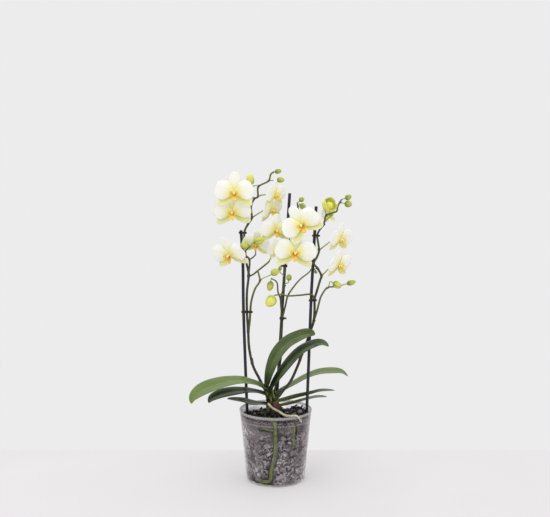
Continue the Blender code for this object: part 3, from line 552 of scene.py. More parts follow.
def petal_skin(name, flower, outer, reach, flush):
    """Petal tissue: pearly and soft, with faint veins that fan out and a yellow-green foot."""
    made, tree, shader = start_material(
        name, IOR=1.38, Subsurface_Weight=0.25, Subsurface_Scale=1.2 * MM, Sheen_Weight=0.1)
    shader.inputs["Subsurface Radius"].default_value = (1.0, 0.9, 0.6)
    place = node(tree, "TexCoord").outputs["Object"]
    along = node(tree, "Attribute", attribute_name="along").outputs["Fac"]
    across = node(tree, "Attribute", attribute_name="across").outputs["Fac"]
    tone = node(tree, "Attribute", attribute_name="tone").outputs["Fac"]
    strip = node(tree, "CombineXYZ", {"X": along, "Y": across, "Z": tone}).outputs[0]
    fanned = node(tree, "Mapping", {"Vector": strip, "Scale": (1.6, 9, 5)}).outputs[0]
    veins = node(tree, "TexNoise", {"Vector": fanned, "Scale": 1.0, "Detail": 3}).outputs["Fac"]
    grain = node(tree, "TexNoise", {"Vector": place, "Scale": every(1.2), "Detail": 2}).outputs["Fac"]
    near = node(tree, "MapRange", {
        "Value": along, "From Min": 0.04, "From Max": reach, "To Min": 1.0, "To Max": 0.0},
        interpolation_type="SMOOTHSTEP").outputs[0]
    soft = node(tree, "Math", {0: veins, 1: 0.5, 2: 0.6}, operation="MULTIPLY_ADD").outputs[0]
    foot = node(tree, "Math", {0: near, 1: soft}, operation="MULTIPLY", use_clamp=True).outputs[0]
    plain = node(tree, "Mix", {0: foot, 6: outer, 7: flower.heart[:]}, data_type="RGBA").outputs[2]
    off_centre = node(tree, "Math", {0: across}, operation="ABSOLUTE").outputs[0]
    streak = node(tree, "MapRange", {
        "Value": off_centre, "From Min": 0.1, "From Max": 0.95, "To Min": flush, "To Max": 0.0},
        interpolation_type="SMOOTHSTEP").outputs[0]
    fading = node(tree, "MapRange", {
        "Value": along, "From Min": 0.2, "From Max": 1.0, "To Min": 1.0, "To Max": 0.35}).outputs[0]
    flushed = node(tree, "Math", {0: streak, 1: fading}, operation="MULTIPLY").outputs[0]
    faint = node(tree, "MapRange", {
        "Value": veins, "From Min": 0.42, "From Max": 0.66, "To Min": 0.0, "To Max": 0.1}).outputs[0]
    greened = node(tree, "Math", {0: flushed, 1: faint}, operation="ADD", use_clamp=True).outputs[0]
    tint = node(tree, "Mix", {0: greened, 6: plain, 7: flower.sepal[:]}, data_type="RGBA").outputs[2]
    relief = node(tree, "Math", {0: veins, 1: 1.5, 2: grain}, operation="MULTIPLY_ADD").outputs[0]
    bump = node(tree, "Bump", {"Height": relief, "Strength": 0.25, "Distance": 0.4 * MM}).outputs[0]
    gloss = node(tree, "MapRange", {"Value": grain, "To Min": 0.45, "To Max": 0.62}).outputs[0]
    wire(tree, shader, Base_Color=tint, Normal=bump, Roughness=gloss)
    return made


def lip_skin(flower):
    """Lip of the flower: waxy yellow to orange, with brown dots near the callus."""
    made, tree, shader = start_material(
        "orchid_lip_waxy", IOR=1.4, Subsurface_Weight=0.15, Subsurface_Scale=0.8 * MM, Coat_Weight=0.2)
    place = node(tree, "TexCoord").outputs["Object"]
    along = node(tree, "Attribute", attribute_name="along").outputs["Fac"]
    tone = node(tree, "Attribute", attribute_name="tone").outputs["Fac"]
    spots = node(tree, "TexVoronoi", {"Vector": place, "Scale": every(1.5)}).outputs["Distance"]
    grain = node(tree, "TexNoise", {"Vector": place, "Scale": every(1.0), "Detail": 2}).outputs["Fac"]
    inner = node(tree, "MapRange", {
        "Value": along, "From Min": 0.0, "From Max": 0.6, "To Min": 0.4, "To Max": 0.0})
    orange = node(tree, "Math", {0: tone, 1: inner.outputs[0]}, operation="ADD", use_clamp=True)
    warm = node(tree, "Mix", {
        0: orange.outputs[0], 6: flower.lip_yellow[:], 7: flower.lip_orange[:]}, data_type="RGBA")
    near = node(tree, "MapRange", {
        "Value": along, "From Min": 0.1, "From Max": 0.7, "To Min": 1.0, "To Max": 0.0})
    dot = node(tree, "MapRange", {
        "Value": spots, "From Min": 0.25, "From Max": 0.4, "To Min": 1.0, "To Max": 0.0})
    dotted = node(tree, "Math", {0: near.outputs[0], 1: dot.outputs[0]}, operation="MULTIPLY")
    strength = node(tree, "Math", {0: tone, 1: 0.75, 2: 0.1}, operation="MULTIPLY_ADD")
    brown = node(tree, "Math", {
        0: dotted.outputs[0], 1: strength.outputs[0]}, operation="MULTIPLY", use_clamp=True)
    tint = node(tree, "Mix", {
        0: brown.outputs[0], 6: warm.outputs[2], 7: flower.lip_brown[:]}, data_type="RGBA")
    bump = node(tree, "Bump", {"Height": grain, "Strength": 0.25, "Distance": 0.2 * MM})
    gloss = node(tree, "MapRange", {"Value": grain, "To Min": 0.3, "To Max": 0.5})
    wire(tree, shader, Base_Color=tint.outputs[2], Normal=bump.outputs[0], Roughness=gloss.outputs[0])
    return made


def bud_skin(flower):
    """Bud: tight waxy skin, darker along its seams and at its foot."""
    made, tree, shader = start_material(
        "orchid_bud_waxy", IOR=1.42, Subsurface_Weight=0.2, Subsurface_Scale=1.0 * MM, Coat_Weight=0.15)
    place = node(tree, "TexCoord").outputs["Object"]
    along = node(tree, "Attribute", attribute_name="along").outputs["Fac"]
    across = node(tree, "Attribute", attribute_name="across").outputs["Fac"]
    tone = node(tree, "Attribute", attribute_name="tone").outputs["Fac"]
    mottle = node(tree, "TexNoise", {"Vector": place, "Scale": every(3.5), "Detail": 4}).outputs["Fac"]
    belly = node(tree, "MapRange", {
        "Value": along, "From Min": 0.0, "From Max": 0.55, "To Min": -0.45, "To Max": 0.15})
    seam = node(tree, "MapRange", {
        "Value": across, "From Min": 0.0, "From Max": 1.0, "To Min": 0.0, "To Max": -0.45})
    shaped = node(tree, "Math", {0: belly.outputs[0], 1: seam.outputs[0]}, operation="ADD")
    uneven = node(tree, "Math", {0: mottle, 1: 0.6, 2: shaped.outputs[0]}, operation="MULTIPLY_ADD")
    ripe = node(tree, "Math", {0: tone, 1: uneven.outputs[0]}, operation="ADD", use_clamp=True)
    tint = node(tree, "Mix", {
        0: ripe.outputs[0], 6: flower.bud_green[:], 7: flower.bud_yellow[:]}, data_type="RGBA")
    bump = node(tree, "Bump", {"Height": mottle, "Strength": 0.2, "Distance": 0.4 * MM})
    gloss = node(tree, "MapRange", {"Value": mottle, "To Min": 0.35, "To Max": 0.55})
    wire(tree, shader, Base_Color=tint.outputs[2], Normal=bump.outputs[0], Roughness=gloss.outputs[0])
    return made


def black_plastic(name, dark, light, roughness, drawn_out):
    """Black plastic: satin, with faint lines left by the die or the mould."""
    made, tree, shader = start_material(name, IOR=1.5)
    place = node(tree, "TexCoord").outputs["Object"]
    drawn = node(tree, "Mapping", {"Vector": place, "Scale": (1, 1, drawn_out)}).outputs[0]
    lines = node(tree, "TexNoise", {"Vector": drawn, "Scale": every(0.9), "Detail": 3}).outputs["Fac"]
    tint = node(tree, "Mix", {0: lines, 6: linear(dark), 7: linear(light)}, data_type="RGBA")
    bump = node(tree, "Bump", {"Height": lines, "Strength": 0.2, "Distance": 0.15 * MM})
    gloss = node(tree, "MapRange", {"Value": lines, "To Min": roughness - 0.08, "To Max": roughness + 0.12})
    wire(tree, shader, Base_Color=tint.outputs[2], Normal=bump.outputs[0], Roughness=gloss.outputs[0])
    return made


def painted_board(stage):
    """Matt painted board: even and pale, with the faint grain of a roller."""
    made, tree, shader = start_material(
        "board_painted_matt", Roughness=0.85, IOR=1.4, Emission_Strength=0.65)
    place = node(tree, "TexCoord").outputs["Object"]
    grain = node(tree, "TexNoise", {"Vector": place, "Scale": every(1.5), "Detail": 2}).outputs["Fac"]
    cloud = node(tree, "TexNoise", {"Vector": place, "Scale": every(180), "Detail": 1}).outputs["Fac"]
    shade = node(tree, "MapRange", {"Value": cloud, "To Min": 0.97, "To Max": 1.03})
    tint = node(tree, "Mix", {
        0: 1.0, 6: stage.floor[:], 7: shade.outputs[0]}, data_type="RGBA", blend_type="MULTIPLY")
    bump = node(tree, "Bump", {"Height": grain, "Strength": 0.1, "Distance": 0.1 * MM})
    wire(tree, shader, Base_Color=tint.outputs[2], Emission_Color=tint.outputs[2], Normal=bump.outputs[0])
    return made


# ---------------------------------------------------------------- shapes


DOME_STEPS = (30, 55, 78)  # degrees up a round end at which its rings lie


class Form:
    """Points in millimetres and faces of one piece, with named marks: a number at each point."""

    def __init__(self, *marks):
        self.points = []
        self.faces = []
        self.marks = {name: [] for name in marks}

    def add(self, points, faces, **marks):
        start = len(self.points)
        self.points += [tuple(p) for p in points]
        self.faces += [tuple(start + i for i in face) for face in faces]
        for name, row in self.marks.items():
            value = marks.get(name, 0.0)
            row += list(value) if hasattr(value, "__len__") else [value] * len(points)


def piece(form, name, skin, nodes, levels=0, flat=False):
    """Makes the mesh object of a form, which rides on the root and stands for its CAD nodes."""
    mesh = bpy.data.meshes.new(name)
    mesh.from_pydata([[c * MM for c in p] for p in form.points], [], form.faces)
    for mark, row in form.marks.items():
        mesh.attributes.new(mark, "FLOAT", "POINT").data.foreach_set("value", row)
    shape = bmesh.new()
    shape.from_mesh(mesh)
    bmesh.ops.recalc_face_normals(shape, faces=shape.faces)
    shape.to_mesh(mesh)
    shape.free()
    mesh.materials.append(skin)
    if not flat:
        mesh.shade_smooth()
    made = bpy.data.objects.new(name, mesh)
    bpy.context.scene.collection.objects.link(made)
    if levels:
        rounder = made.modifiers.new("Round", "SUBSURF")
        rounder.levels = levels
        rounder.render_levels = levels
    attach(made, "root")
    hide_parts(*nodes)
    return made


def smooth(points, steps):
    """Points on a smooth curve through the given ones."""
    ends = [Vector(p) for p in points]
    ends = [2 * ends[0] - ends[1], *ends, 2 * ends[-1] - ends[-2]]
    found = []
    for a, b, c, d in zip(ends, ends[1:], ends[2:], ends[3:]):
        for step in range(steps):
            t = step / steps
            found.append(
                0.5 * (2 * b + (c - a) * t + (2 * a - 5 * b + 4 * c - d) * t**2
                       + (3 * b - a - 3 * c + d) * t**3))
    return [*found, ends[-2]]


def at_share(line, t):
    """The point at a share of the way along a list of points."""
    place = min(max(t, 0), 1) * (len(line) - 1)
    i = min(int(place), len(line) - 2)
    return line[i].lerp(line[i + 1], place - i)


def grid_faces(rows, columns, wrap=False):
    """Faces between the points of a grid, whose columns may close into rings."""
    faces = []
    for i in range(rows - 1):
        for j in range(columns if wrap else columns - 1):
            k = (j + 1) % columns
            here, above = i * columns, (i + 1) * columns
            faces.append((here + j, here + k, above + k, above + j))
    return faces


def closed_faces(rows, columns):
    """Faces of rings laid one after another, with a face over the first and over the last."""
    last = (rows - 1) * columns
    ends = [tuple(range(columns)), tuple(range(last, last + columns))]
    return grid_faces(rows, columns, wrap=True) + ends


def tube(form, line, radii, sides=12, domes=(False, False), **marks):
    """A closed tube along a line of points, its radius given at each, with round ends if asked."""
    line, radii = [Vector(p) for p in line], list(radii)
    ways = [(b - a).normalized() for a, b in zip(line, line[1:])]
    for at_end in (0, 1):
        if domes[at_end]:
            end, way, radius = (line[-1], ways[-1], radii[-1]) if at_end else (line[0], -ways[0], radii[0])
            for degrees in DOME_STEPS:
                lift = end + way * radius * math.sin(math.radians(degrees))
                narrow = radius * math.cos(math.radians(degrees))
                line.insert(len(line) if at_end else 0, lift)
                radii.insert(len(radii) if at_end else 0, narrow)
    last = len(line) - 1
    side = (line[1] - line[0]).orthogonal().normalized()
    points = []
    for i, middle in enumerate(line):
        ahead = (line[min(i + 1, last)] - line[max(i - 1, 0)]).normalized()
        side = (side - ahead * side.dot(ahead)).normalized()
        other = ahead.cross(side)
        for k in range(sides):
            turn = math.tau * k / sides
            points.append(middle + (side * math.cos(turn) + other * math.sin(turn)) * radii[i])
    faces = closed_faces(len(line), sides)
    rows = {}
    for name, value in marks.items():
        if callable(value):
            value = [value(i / last) for i in range(last + 1) for _ in range(sides)]
        rows[name] = value
    form.add(points, faces, **rows)


def blade(form, grid, thickness, **marks):
    """A closed thin solid round a grid of points, full in the middle and sharp at its rim."""
    rows, columns = grid.shape[:2]
    normal = np.cross(np.gradient(grid, axis=0), np.gradient(grid, axis=1))
    normal /= np.maximum(np.linalg.norm(normal, axis=2, keepdims=True), 1e-9)
    s = np.linspace(0, 1, rows)[:, None] * np.ones((1, columns))
    v = np.linspace(-1, 1, columns)[None, :] * np.ones((rows, 1))
    body = np.sqrt(np.maximum((1 - v**4) * (1 - (2 * s - 1) ** 6), 0))
    lift = normal * (body * thickness / 2)[:, :, None]
    index = np.arange(rows * columns).reshape(rows, columns)
    inner = np.zeros((rows, columns), bool)
    inner[1:-1, 1:-1] = True
    below = index.copy()
    below[inner] = rows * columns + np.arange(inner.sum())
    points = np.concatenate([(grid + lift).reshape(-1, 3), (grid - lift)[inner]])
    faces = []
    for i in range(rows - 1):
        for j in range(columns - 1):
            corners = ((i, j), (i, j + 1), (i + 1, j + 1), (i + 1, j))
            faces.append(tuple(int(index[c]) for c in corners))
            faces.append(tuple(int(below[c]) for c in reversed(corners)))
    across = np.concatenate([v.reshape(-1), v[inner]])
    along = np.concatenate([s.reshape(-1), s[inner]])
    face = np.concatenate([inner.reshape(-1).astype(float), -np.ones(inner.sum())])
    form.add(
        points.tolist(), faces, along=along.tolist(), across=across.tolist(), face=face.tolist(), **marks)


def placed(grid, matrix):
    """A grid of points moved by a matrix."""
    moved = np.array(matrix)
    return grid @ moved[:3, :3].T + moved[:3, 3]


def tepal(long, wide, widest, claw, blunt, cup, bow, wave, phase, rows=14, columns=11):
    """Middle surface of a petal, lobe or sepal, with its foot at the origin and its tip along +X.

    The shares of its length or width are: widest, where it is widest; claw, how wide its foot is;
    blunt, how fast it narrows to the tip, less being blunter; cup and bow, how far its sides and
    its tip rise; wave, how rippled its edge is.
    """
    t = np.linspace(0, 1, rows)
    s = 0.45 * t + 0.55 * np.sin(math.pi / 2 * t)
    rise = claw + (1 - claw) * np.sin(math.pi / 2 * np.minimum(s / widest, 1)) ** 1.2
    fall = (1 - np.clip((s - widest) / (1 - widest), 0, 1) ** 2) ** blunt
    half = np.maximum(wide / 2 * rise * fall, wide * 0.015)[:, None]
    v = np.linspace(-1, 1, columns)[None, :]
    s = s[:, None]
    ripple = wave * wide * 0.05 * np.sin(math.tau * (1.3 * s + phase) + 1.5 * v) * np.abs(v) ** 1.5 * s
    groove = -0.02 * wide * np.exp(-((v / 0.16) ** 2)) * (1 - s) * 1.5
    z = cup * half * v**2 + bow * long * s**2 + ripple + groove
    x = long * s + 0 * v
    return np.stack([x, half * v, z], axis=2)


def facing(yaw, pitch, roll=0):
    """Rotation that turns +Z to the way a flower or bud faces, its +Y kept upwards."""
    turn = Matrix.Rotation(math.radians(yaw), 4, "Z")
    lift = Matrix.Rotation(math.radians(90 - pitch), 4, "X")
    return turn @ lift @ Matrix.Rotation(math.radians(roll), 4, "Z")


def pointing(start, way, face):
    """Matrix that puts a blade's foot at start, its tip along way and its face towards face."""
    ahead = Vector(way).normalized()
    up = Vector(face)
    up = (up - ahead * up.dot(ahead)).normalized()
    side = up.cross(ahead)
    turned = Matrix((ahead, side, up)).transposed().to_4x4()
    return Matrix.Translation(start) @ turned


def stalk(start, end, way, steps=6):
    """Points of a stalk that leaves a stem and arrives along the way its flower faces."""
    start, end = Vector(start), Vector(end)
    reach = (end - start).length
    leave = start + (end - start) * 0.3 + Vector((0, 0, 0.06 * reach))
    arrive = end - way * max(min(reach * 0.3, 7), 2.5)
    return smooth((start, leave, arrive, end), steps)


# ---------------------------------------------------------------- pot and what fills it


def wall_radius(z, wall):
    """Inner radius of the pot at a height."""
    top = RIM_RADIUS - RIM_STEP
    rise = (z - FOOT_CHAMFER) / (POT_HEIGHT - RIM_BAND - FOOT_CHAMFER)
    return WALL_FOOT_RADIUS + (top - WALL_FOOT_RADIUS) * max(rise, 0) - wall


def on_wall(angle, z, radius):
    """Middle of a root of this radius that lies against the inside of the pot."""
    reach = wall_radius(z, 1.0) - ROOT_EASE - radius
    turn = math.radians(angle)
    return (reach * math.cos(turn), reach * math.sin(turn), z)


def root_routes():
    """Each root's route with its radius at the start and at the end."""
    main, thin, side = 3.7, 2.8, 1.8
    over = ((-12, -5, 130), (-11, -13, 130), (-5, -24, 127), (3, -35, 125.5), (10, -45, 124),
            (15, -53, 123), (22, -54.5, 122.4), (29, -52.7, 122.3), (33, -52, 121.7),
            (35.8, -51, 119.8), (38.5, -49.2, 116), (41, -47.2, 111))
    front = ((-10, -4, 103), (-7, -22, 103), (-4, -37, 104), on_wall(-91, 107, main),
             on_wall(-90.5, 82, main), on_wall(-90.5, 57, main), on_wall(-94, 43, main),
             on_wall(-99, 27, main), on_wall(-100, 14, main), on_wall(-106, 9, main),
             on_wall(-120, 8, main), on_wall(-135, 8.5, main))
    right = ((-3, -4, 100), (10, -17, 100), (19, -28, 100), on_wall(-57, 104, thin),
             on_wall(-56, 85, thin), on_wall(-55, 66, thin))
    offshoot = (on_wall(-91, 97, main), on_wall(-100, 98, side), on_wall(-110, 100, side),
                on_wall(-117, 99, side))
    return {
        "over": (over, 2.0, 1.5),
        "front": (front, main, main * 0.8),
        "right": (right, thin, thin * 0.8),
        "offshoot": (offshoot, side, side * 0.8),
    }


def root_places():
    """Points along the roots inside the pot, with their radii."""
    return [(p, start) for name, (points, start, _) in root_routes().items() if name != "over"
            for p in smooth(points, 12)]


def make_pot(context):
    """The clear pot, turned from its profile and cut with drain holes and foot slots."""
    pot = context.scene.orchid_pot
    wall = pot.wall / MM
    top = POT_HEIGHT - RIM_BAND
    upper = RIM_RADIUS - RIM_STEP
    outside = [(FOOT_RADIUS - 0.8, 0), (FOOT_RADIUS, 0.5), (WALL_FOOT_RADIUS, FOOT_CHAMFER)]
    for step in range(38):  # close enough for the marks of roots and beads to stay sharp
        z = 6.5 + WALL_ROW * step
        outside.append((wall_radius(z, 0), z))
    for bead in RING_HEIGHTS:
        low, high = bead - RING_SIZE[0], bead + RING_SIZE[0]
        outside += [(wall_radius(low, 0), low), (wall_radius(bead, 0) + RING_SIZE[1], bead),
                    (wall_radius(high, 0), high)]
    outside += [(upper, top - 0.4), (RIM_RADIUS - 0.5, top), (RIM_RADIUS, top + 0.5),
                (RIM_RADIUS, POT_HEIGHT - 0.7), (RIM_RADIUS - 0.35, POT_HEIGHT)]
    inside = [(RIM_RADIUS - 0.9, POT_HEIGHT), (RIM_RADIUS - 1.2, POT_HEIGHT - 0.5),
              (upper - wall, top + 1.5), (upper - wall, top)]
    for step in range(44):
        z = 114 - WALL_ROW * step
        inside.append((wall_radius(z, wall), z))
    inside += [(WALL_FOOT_RADIUS - wall, FOOT_CHAMFER), (FOOT_RADIUS - 2 * wall, FLOOR), (20, FLOOR)]
    profile = [(20, 0), *outside, *inside]
    steps = 128
    form = Form()
    points = []
    for r, z in profile:
        for k in range(steps):
            turn = math.tau * k / steps
            points.append((r * math.cos(turn), r * math.sin(turn), z))
    form.add(points, closed_faces(len(profile), steps))
    made = piece(form, "pot_shell", clear_polypropylene(pot), ["pot"])
    cutters = bpy.data.collections.new("pot_cutters")
    context.scene.collection.children.link(cutters)
    for i in range(DRAINS):
        angle = math.radians(SLOT_TURN + 360 / DRAINS * i)
        slot_at = Matrix.Translation((WALL_FOOT_RADIUS, 0, FOOT_CHAMFER / 2))
        for name, spot in (
            ("drain", Matrix.Rotation(angle + math.pi / DRAINS, 4, "Z")
             @ Matrix.Translation((DRAIN_RING, 0, 0))),
            ("slot", Matrix.Rotation(angle, 4, "Z") @ slot_at @ Matrix.Diagonal((*SLOT_SIZE, 1))),
        ):
            shape = bmesh.new()
            if name == "drain":
                bmesh.ops.create_cone(shape, cap_ends=True, segments=24, radius1=DRAIN_RADIUS,
                                      radius2=DRAIN_RADIUS, depth=4 * FLOOR)
            else:
                bmesh.ops.create_cube(shape, size=1)
            bmesh.ops.transform(shape, matrix=Matrix.Scale(MM, 4) @ spot, verts=shape.verts)
            mesh = bpy.data.meshes.new(name)
            shape.to_mesh(mesh)
            shape.free()
            cutters.objects.link(bpy.data.objects.new(f"{name}_{i}", mesh))
    cut = made.modifiers.new("Cut", "BOOLEAN")
    cut.operand_type = "COLLECTION"
    cut.collection = cutters
    cut.solver = "EXACT"
    context.view_layer.update()
    seen = made.evaluated_get(context.evaluated_depsgraph_get())
    mesh = bpy.data.meshes.new_from_object(seen)
    made.modifiers.clear()
    made.data = mesh
    mesh.set_sharp_from_angle(angle=math.radians(40))
    routes = root_places()
    wet, thick = [], []
    for vert in mesh.vertices:
        off_root = min((vert.co / MM - p).length - r for p, r in routes)
        wet.append(max(min((ROOT_TOUCH - off_root) / ROOT_FADE, 1), 0))
        z = vert.co.z / MM
        ring = min(abs(z - middle) for middle in RING_HEIGHTS)
        thick.append(RIM_SHINE if z > POT_HEIGHT - RIM_BAND - 0.1 else RING_SHINE * (ring < 0.5))
    mesh.attributes.new("touch", "FLOAT", "POINT").data.foreach_set("value", wet)
    mesh.attributes.new("bead", "FLOAT", "POINT").data.foreach_set("value", thick)
    for cutter in list(cutters.objects):
        bpy.data.objects.remove(cutter)
    bpy.data.collections.remove(cutters)


CORE_EASE = 4.5  # how far the core stays inside the wall
BEHIND_ROOT = 9.5  # how far a chip moves in where a root runs in front of it
CHIP_TONES = (0.0, 0.1, 0.3, 0.5, 0.8)
MOUND = (38, 12, 15.0, 12.0)  # its middle, how far it rises and its spread
HOLLOW = (-38, -5, -5.0, 14.0)


def soil_height(x, y):
    """Height of the bark surface, with a mound behind the right cane and a hollow on the left."""
    level = SOIL_TOP - 3
    for at_x, at_y, rise, spread in (MOUND, HOLLOW):
        level += rise * math.exp(-((x - at_x) ** 2 + (y - at_y) ** 2) / (2 * spread**2))
    return level


def chunk_template():
    """Points on the skin of a two by two by two grid, and its faces."""
    places, faces = {}, []
    for axis in range(3):
        for sign in (-1, 1):
            for a in (-1, 0):
                for b in (-1, 0):
                    face = []
                    for da, db in ((0, 0), (1, 0), (1, 1), (0, 1)):
                        corner = [0, 0, 0]
                        corner[axis] = sign
                        corner[(axis + 1) % 3] = a + da
                        corner[(axis + 2) % 3] = b + db
                        face.append(places.setdefault(tuple(corner), len(places)))
                    faces.append(tuple(face))
    return list(places), faces


def chip(form, template, rng, size, matrix, keep_in, tone):
    """One broken chip of bark, its corners knocked about, kept inside the pot."""
    corners, faces = template
    points = []
    for corner in corners:
        rounded = 1 - 0.16 * (sum(abs(c) for c in corner) - 1)
        spot = Vector([c * rounded * s / 2 * rng.uniform(0.72, 1.12) for c, s in zip(corner, size)])
        points.append(keep_in(matrix @ spot))
    form.add(points, faces, tone=tone)


def make_bark(context):
    """A dark core, painted as the shade in the gaps, with chips pressed against the wall and heaped on top.
    """
    pot = context.scene.orchid_pot
    wall = pot.wall / MM
    skin = pine_bark(pot)
    core = Form("tone")
    steps = 96
    # Share of the way out to the wall and height, which is the surface's own on top
    rings = [(out, None) for out in (0.12, 0.3, 0.48, 0.64, 0.78, 0.9, 1.0)]
    rings += [(1.0, z) for z in (98, 88, 76, 64, 52, 40, 28, 16, 8, 3)]
    rings.append((0.5, 2.2))
    points = []
    for out, z in rings:
        for k in range(steps):
            turn = math.tau * k / steps
            level = SOIL_TOP if z is None else z
            reach = (wall_radius(level, wall) - CORE_EASE) * out
            x, y = reach * math.cos(turn), reach * math.sin(turn)
            height = soil_height(x, y) - 2.5 if z is None else z
            rough = noise.noise(Vector((x, y, height)) * 0.13) * 2.2
            if z is None:
                points.append((x, y, height + rough))
            else:
                points.append((x * (1 + rough / reach), y * (1 + rough / reach), height))
    # The core keeps the darkest tone: painted shade in the gaps between the chips.
    core.add(points, closed_faces(len(rings), steps), tone=0.0)
    piece(core, "bark_core", skin, ["substrate"])

    rng = random.Random(11)
    template = chunk_template()
    routes = root_places()

    def inside_wall(point):
        reach = math.hypot(point.x, point.y)
        limit = wall_radius(point.z, wall) - 0.5
        if reach > limit:
            point = Vector((point.x * limit / reach, point.y * limit / reach, point.z))
        point.z = max(point.z, 2.0)
        return point

    at_wall = Form("tone")
    for _ in range(pot.wall_chips):
        angle = rng.uniform(0, math.tau)
        z = rng.uniform(5, SOIL_TOP - 4)
        large = rng.random() ** 2.2
        size = (rng.uniform(3, 5), 3 + 10 * large, 2.4 + 6.5 * large * rng.uniform(0.5, 1))
        reach = wall_radius(z, wall) - size[0] * rng.uniform(0.3, 0.9)
        middle = Vector((reach * math.cos(angle), reach * math.sin(angle), z))
        if any((middle - p).length < r + 0.5 + math.hypot(size[1], size[2]) / 2 for p, r in routes):
            middle *= 1 - BEHIND_ROOT / reach
            middle.z = z
        tilt = Matrix.Rotation(rng.uniform(-1.4, 1.4), 4, "X")
        spin = tilt @ Matrix.Rotation(rng.uniform(-0.3, 0.3), 4, "Z")
        spot = Matrix.Translation(middle) @ Matrix.Rotation(angle, 4, "Z") @ spin
        tone = rng.choice(CHIP_TONES) + rng.uniform(-0.08, 0.1)
        tone *= 1 - 0.85 * min(max((z - 84) / 14, 0), 1)  # shaded under the rim
        tone *= 0.4 + 0.6 * min(max((z - 10) / 8, 0), 1)  # and darker near the floor
        chip(at_wall, template, rng, size, spot, inside_wall, tone)
    piece(at_wall, "bark_chips_at_wall", skin, ["substrate"], flat=True)

    on_top = Form("tone")
    near_wall = [(p, r) for p, r in routes if math.hypot(p.x, p.y) > 43]
    for _ in range(pot.top_chips):
        angle = rng.uniform(0, math.tau)
        reach = 53.5 * math.sqrt(rng.random())
        x, y = reach * math.cos(angle), reach * math.sin(angle)
        small = 0.35 + 0.65 * rng.random()
        size = (rng.uniform(6, 13) * small, rng.uniform(4, 9) * small, rng.uniform(2.5, 5) * small)
        height = soil_height(x, y) - 0.5 * size[2] + rng.uniform(-0.5, 2.0)
        if math.hypot(x - CROWN_AT[0], y - CROWN_AT[1]) < 12:  # pressed down round the crown
            height -= 2.0
        if any((Vector((x, y, height)) - p).length < r + size[0] / 2 for p, r in near_wall):
            continue
        spin = Matrix.Rotation(rng.uniform(0, math.tau), 4, "Z")
        spin = spin @ Matrix.Rotation(rng.uniform(-0.5, 0.5), 4, "X")
        spot = Matrix.Translation((x, y, height)) @ spin @ Matrix.Rotation(rng.uniform(-0.4, 0.4), 4, "Y")
        chip(on_top, template, rng, size, spot, inside_wall, rng.random() ** 3 * 0.36)
    piece(on_top, "bark_chips_on_top", skin, ["substrate"], flat=True)


def root_tube(form, route, start, end, seed, domes):
    """One root, a little uneven along its length."""
    line = smooth(route, 7)
    radii = []
    for i, point in enumerate(line):
        t = i / (len(line) - 1)
        swell = 1 + 0.09 * noise.noise(point * 0.12 + Vector((seed, 0, 0)))
        radii.append((start + (end - start) * t) * swell)
    tube(form, line, radii, 16, domes)


def make_roots(context):
    """One dry root over the rim and two green ones down the inside of the wall."""
    pot = context.scene.orchid_pot
    routes = root_routes()
    wet = root_skin("root_living_wet", linear("5A6236"), pot.root_green[:], 0.85, 0.5)
    dry = root_skin("root_velamen_dry", linear("A39E84"), pot.root_silver[:], 0.0, 0.8)
    for name, skin, slot, parts in (
        ("root_over_rim", dry, "dry_root", (("over", 1),)),
        ("root_front", wet, "wet_root", (("front", 2), ("offshoot", 3))),
        ("root_right", wet, "wet_root", (("right", 4),)),
    ):
        form = Form()
        for part, seed in parts:
            root_tube(form, *routes[part], seed, (False, True))
        piece(form, f"{name}_skin", skin, [name])


# ---------------------------------------------------------------- plant


def make_crown(context):
    """The short stem: a scaly brown foot that leans up into the green sheaths."""
    form = Form()
    steps = 48
    points = []
    for base_radius, z in CROWN_LEVELS:
        lean = CROWN_LEAN * max(1 - max(z - 118, 0) / 26, 0)
        for k in range(steps):
            turn = math.tau * k / steps
            scales = 0.09 * noise.noise(Vector((3 * math.cos(turn), 3 * math.sin(turn), z * 0.21)))
            ribs = 0.05 * math.sin(5 * turn + z * 0.12)
            radius = base_radius * (1 + 2 * scales + ribs)
            points.append((CROWN_AT[0] + lean + radius * math.cos(turn),
                           CROWN_AT[1] + radius * math.sin(turn) * CROWN_DEPTH, z))
    form.add(points, closed_faces(len(CROWN_LEVELS), steps))
    piece(form, "crown_sheaths", crown_sheaths(context.scene.orchid_plant), ["crown"], levels=1)


LEAF_FOOT = 0.24  # width where a leaf leaves its sheath, as a share of the widest
LEAF_WIDEST = 0.6  # share of the length at which it is widest


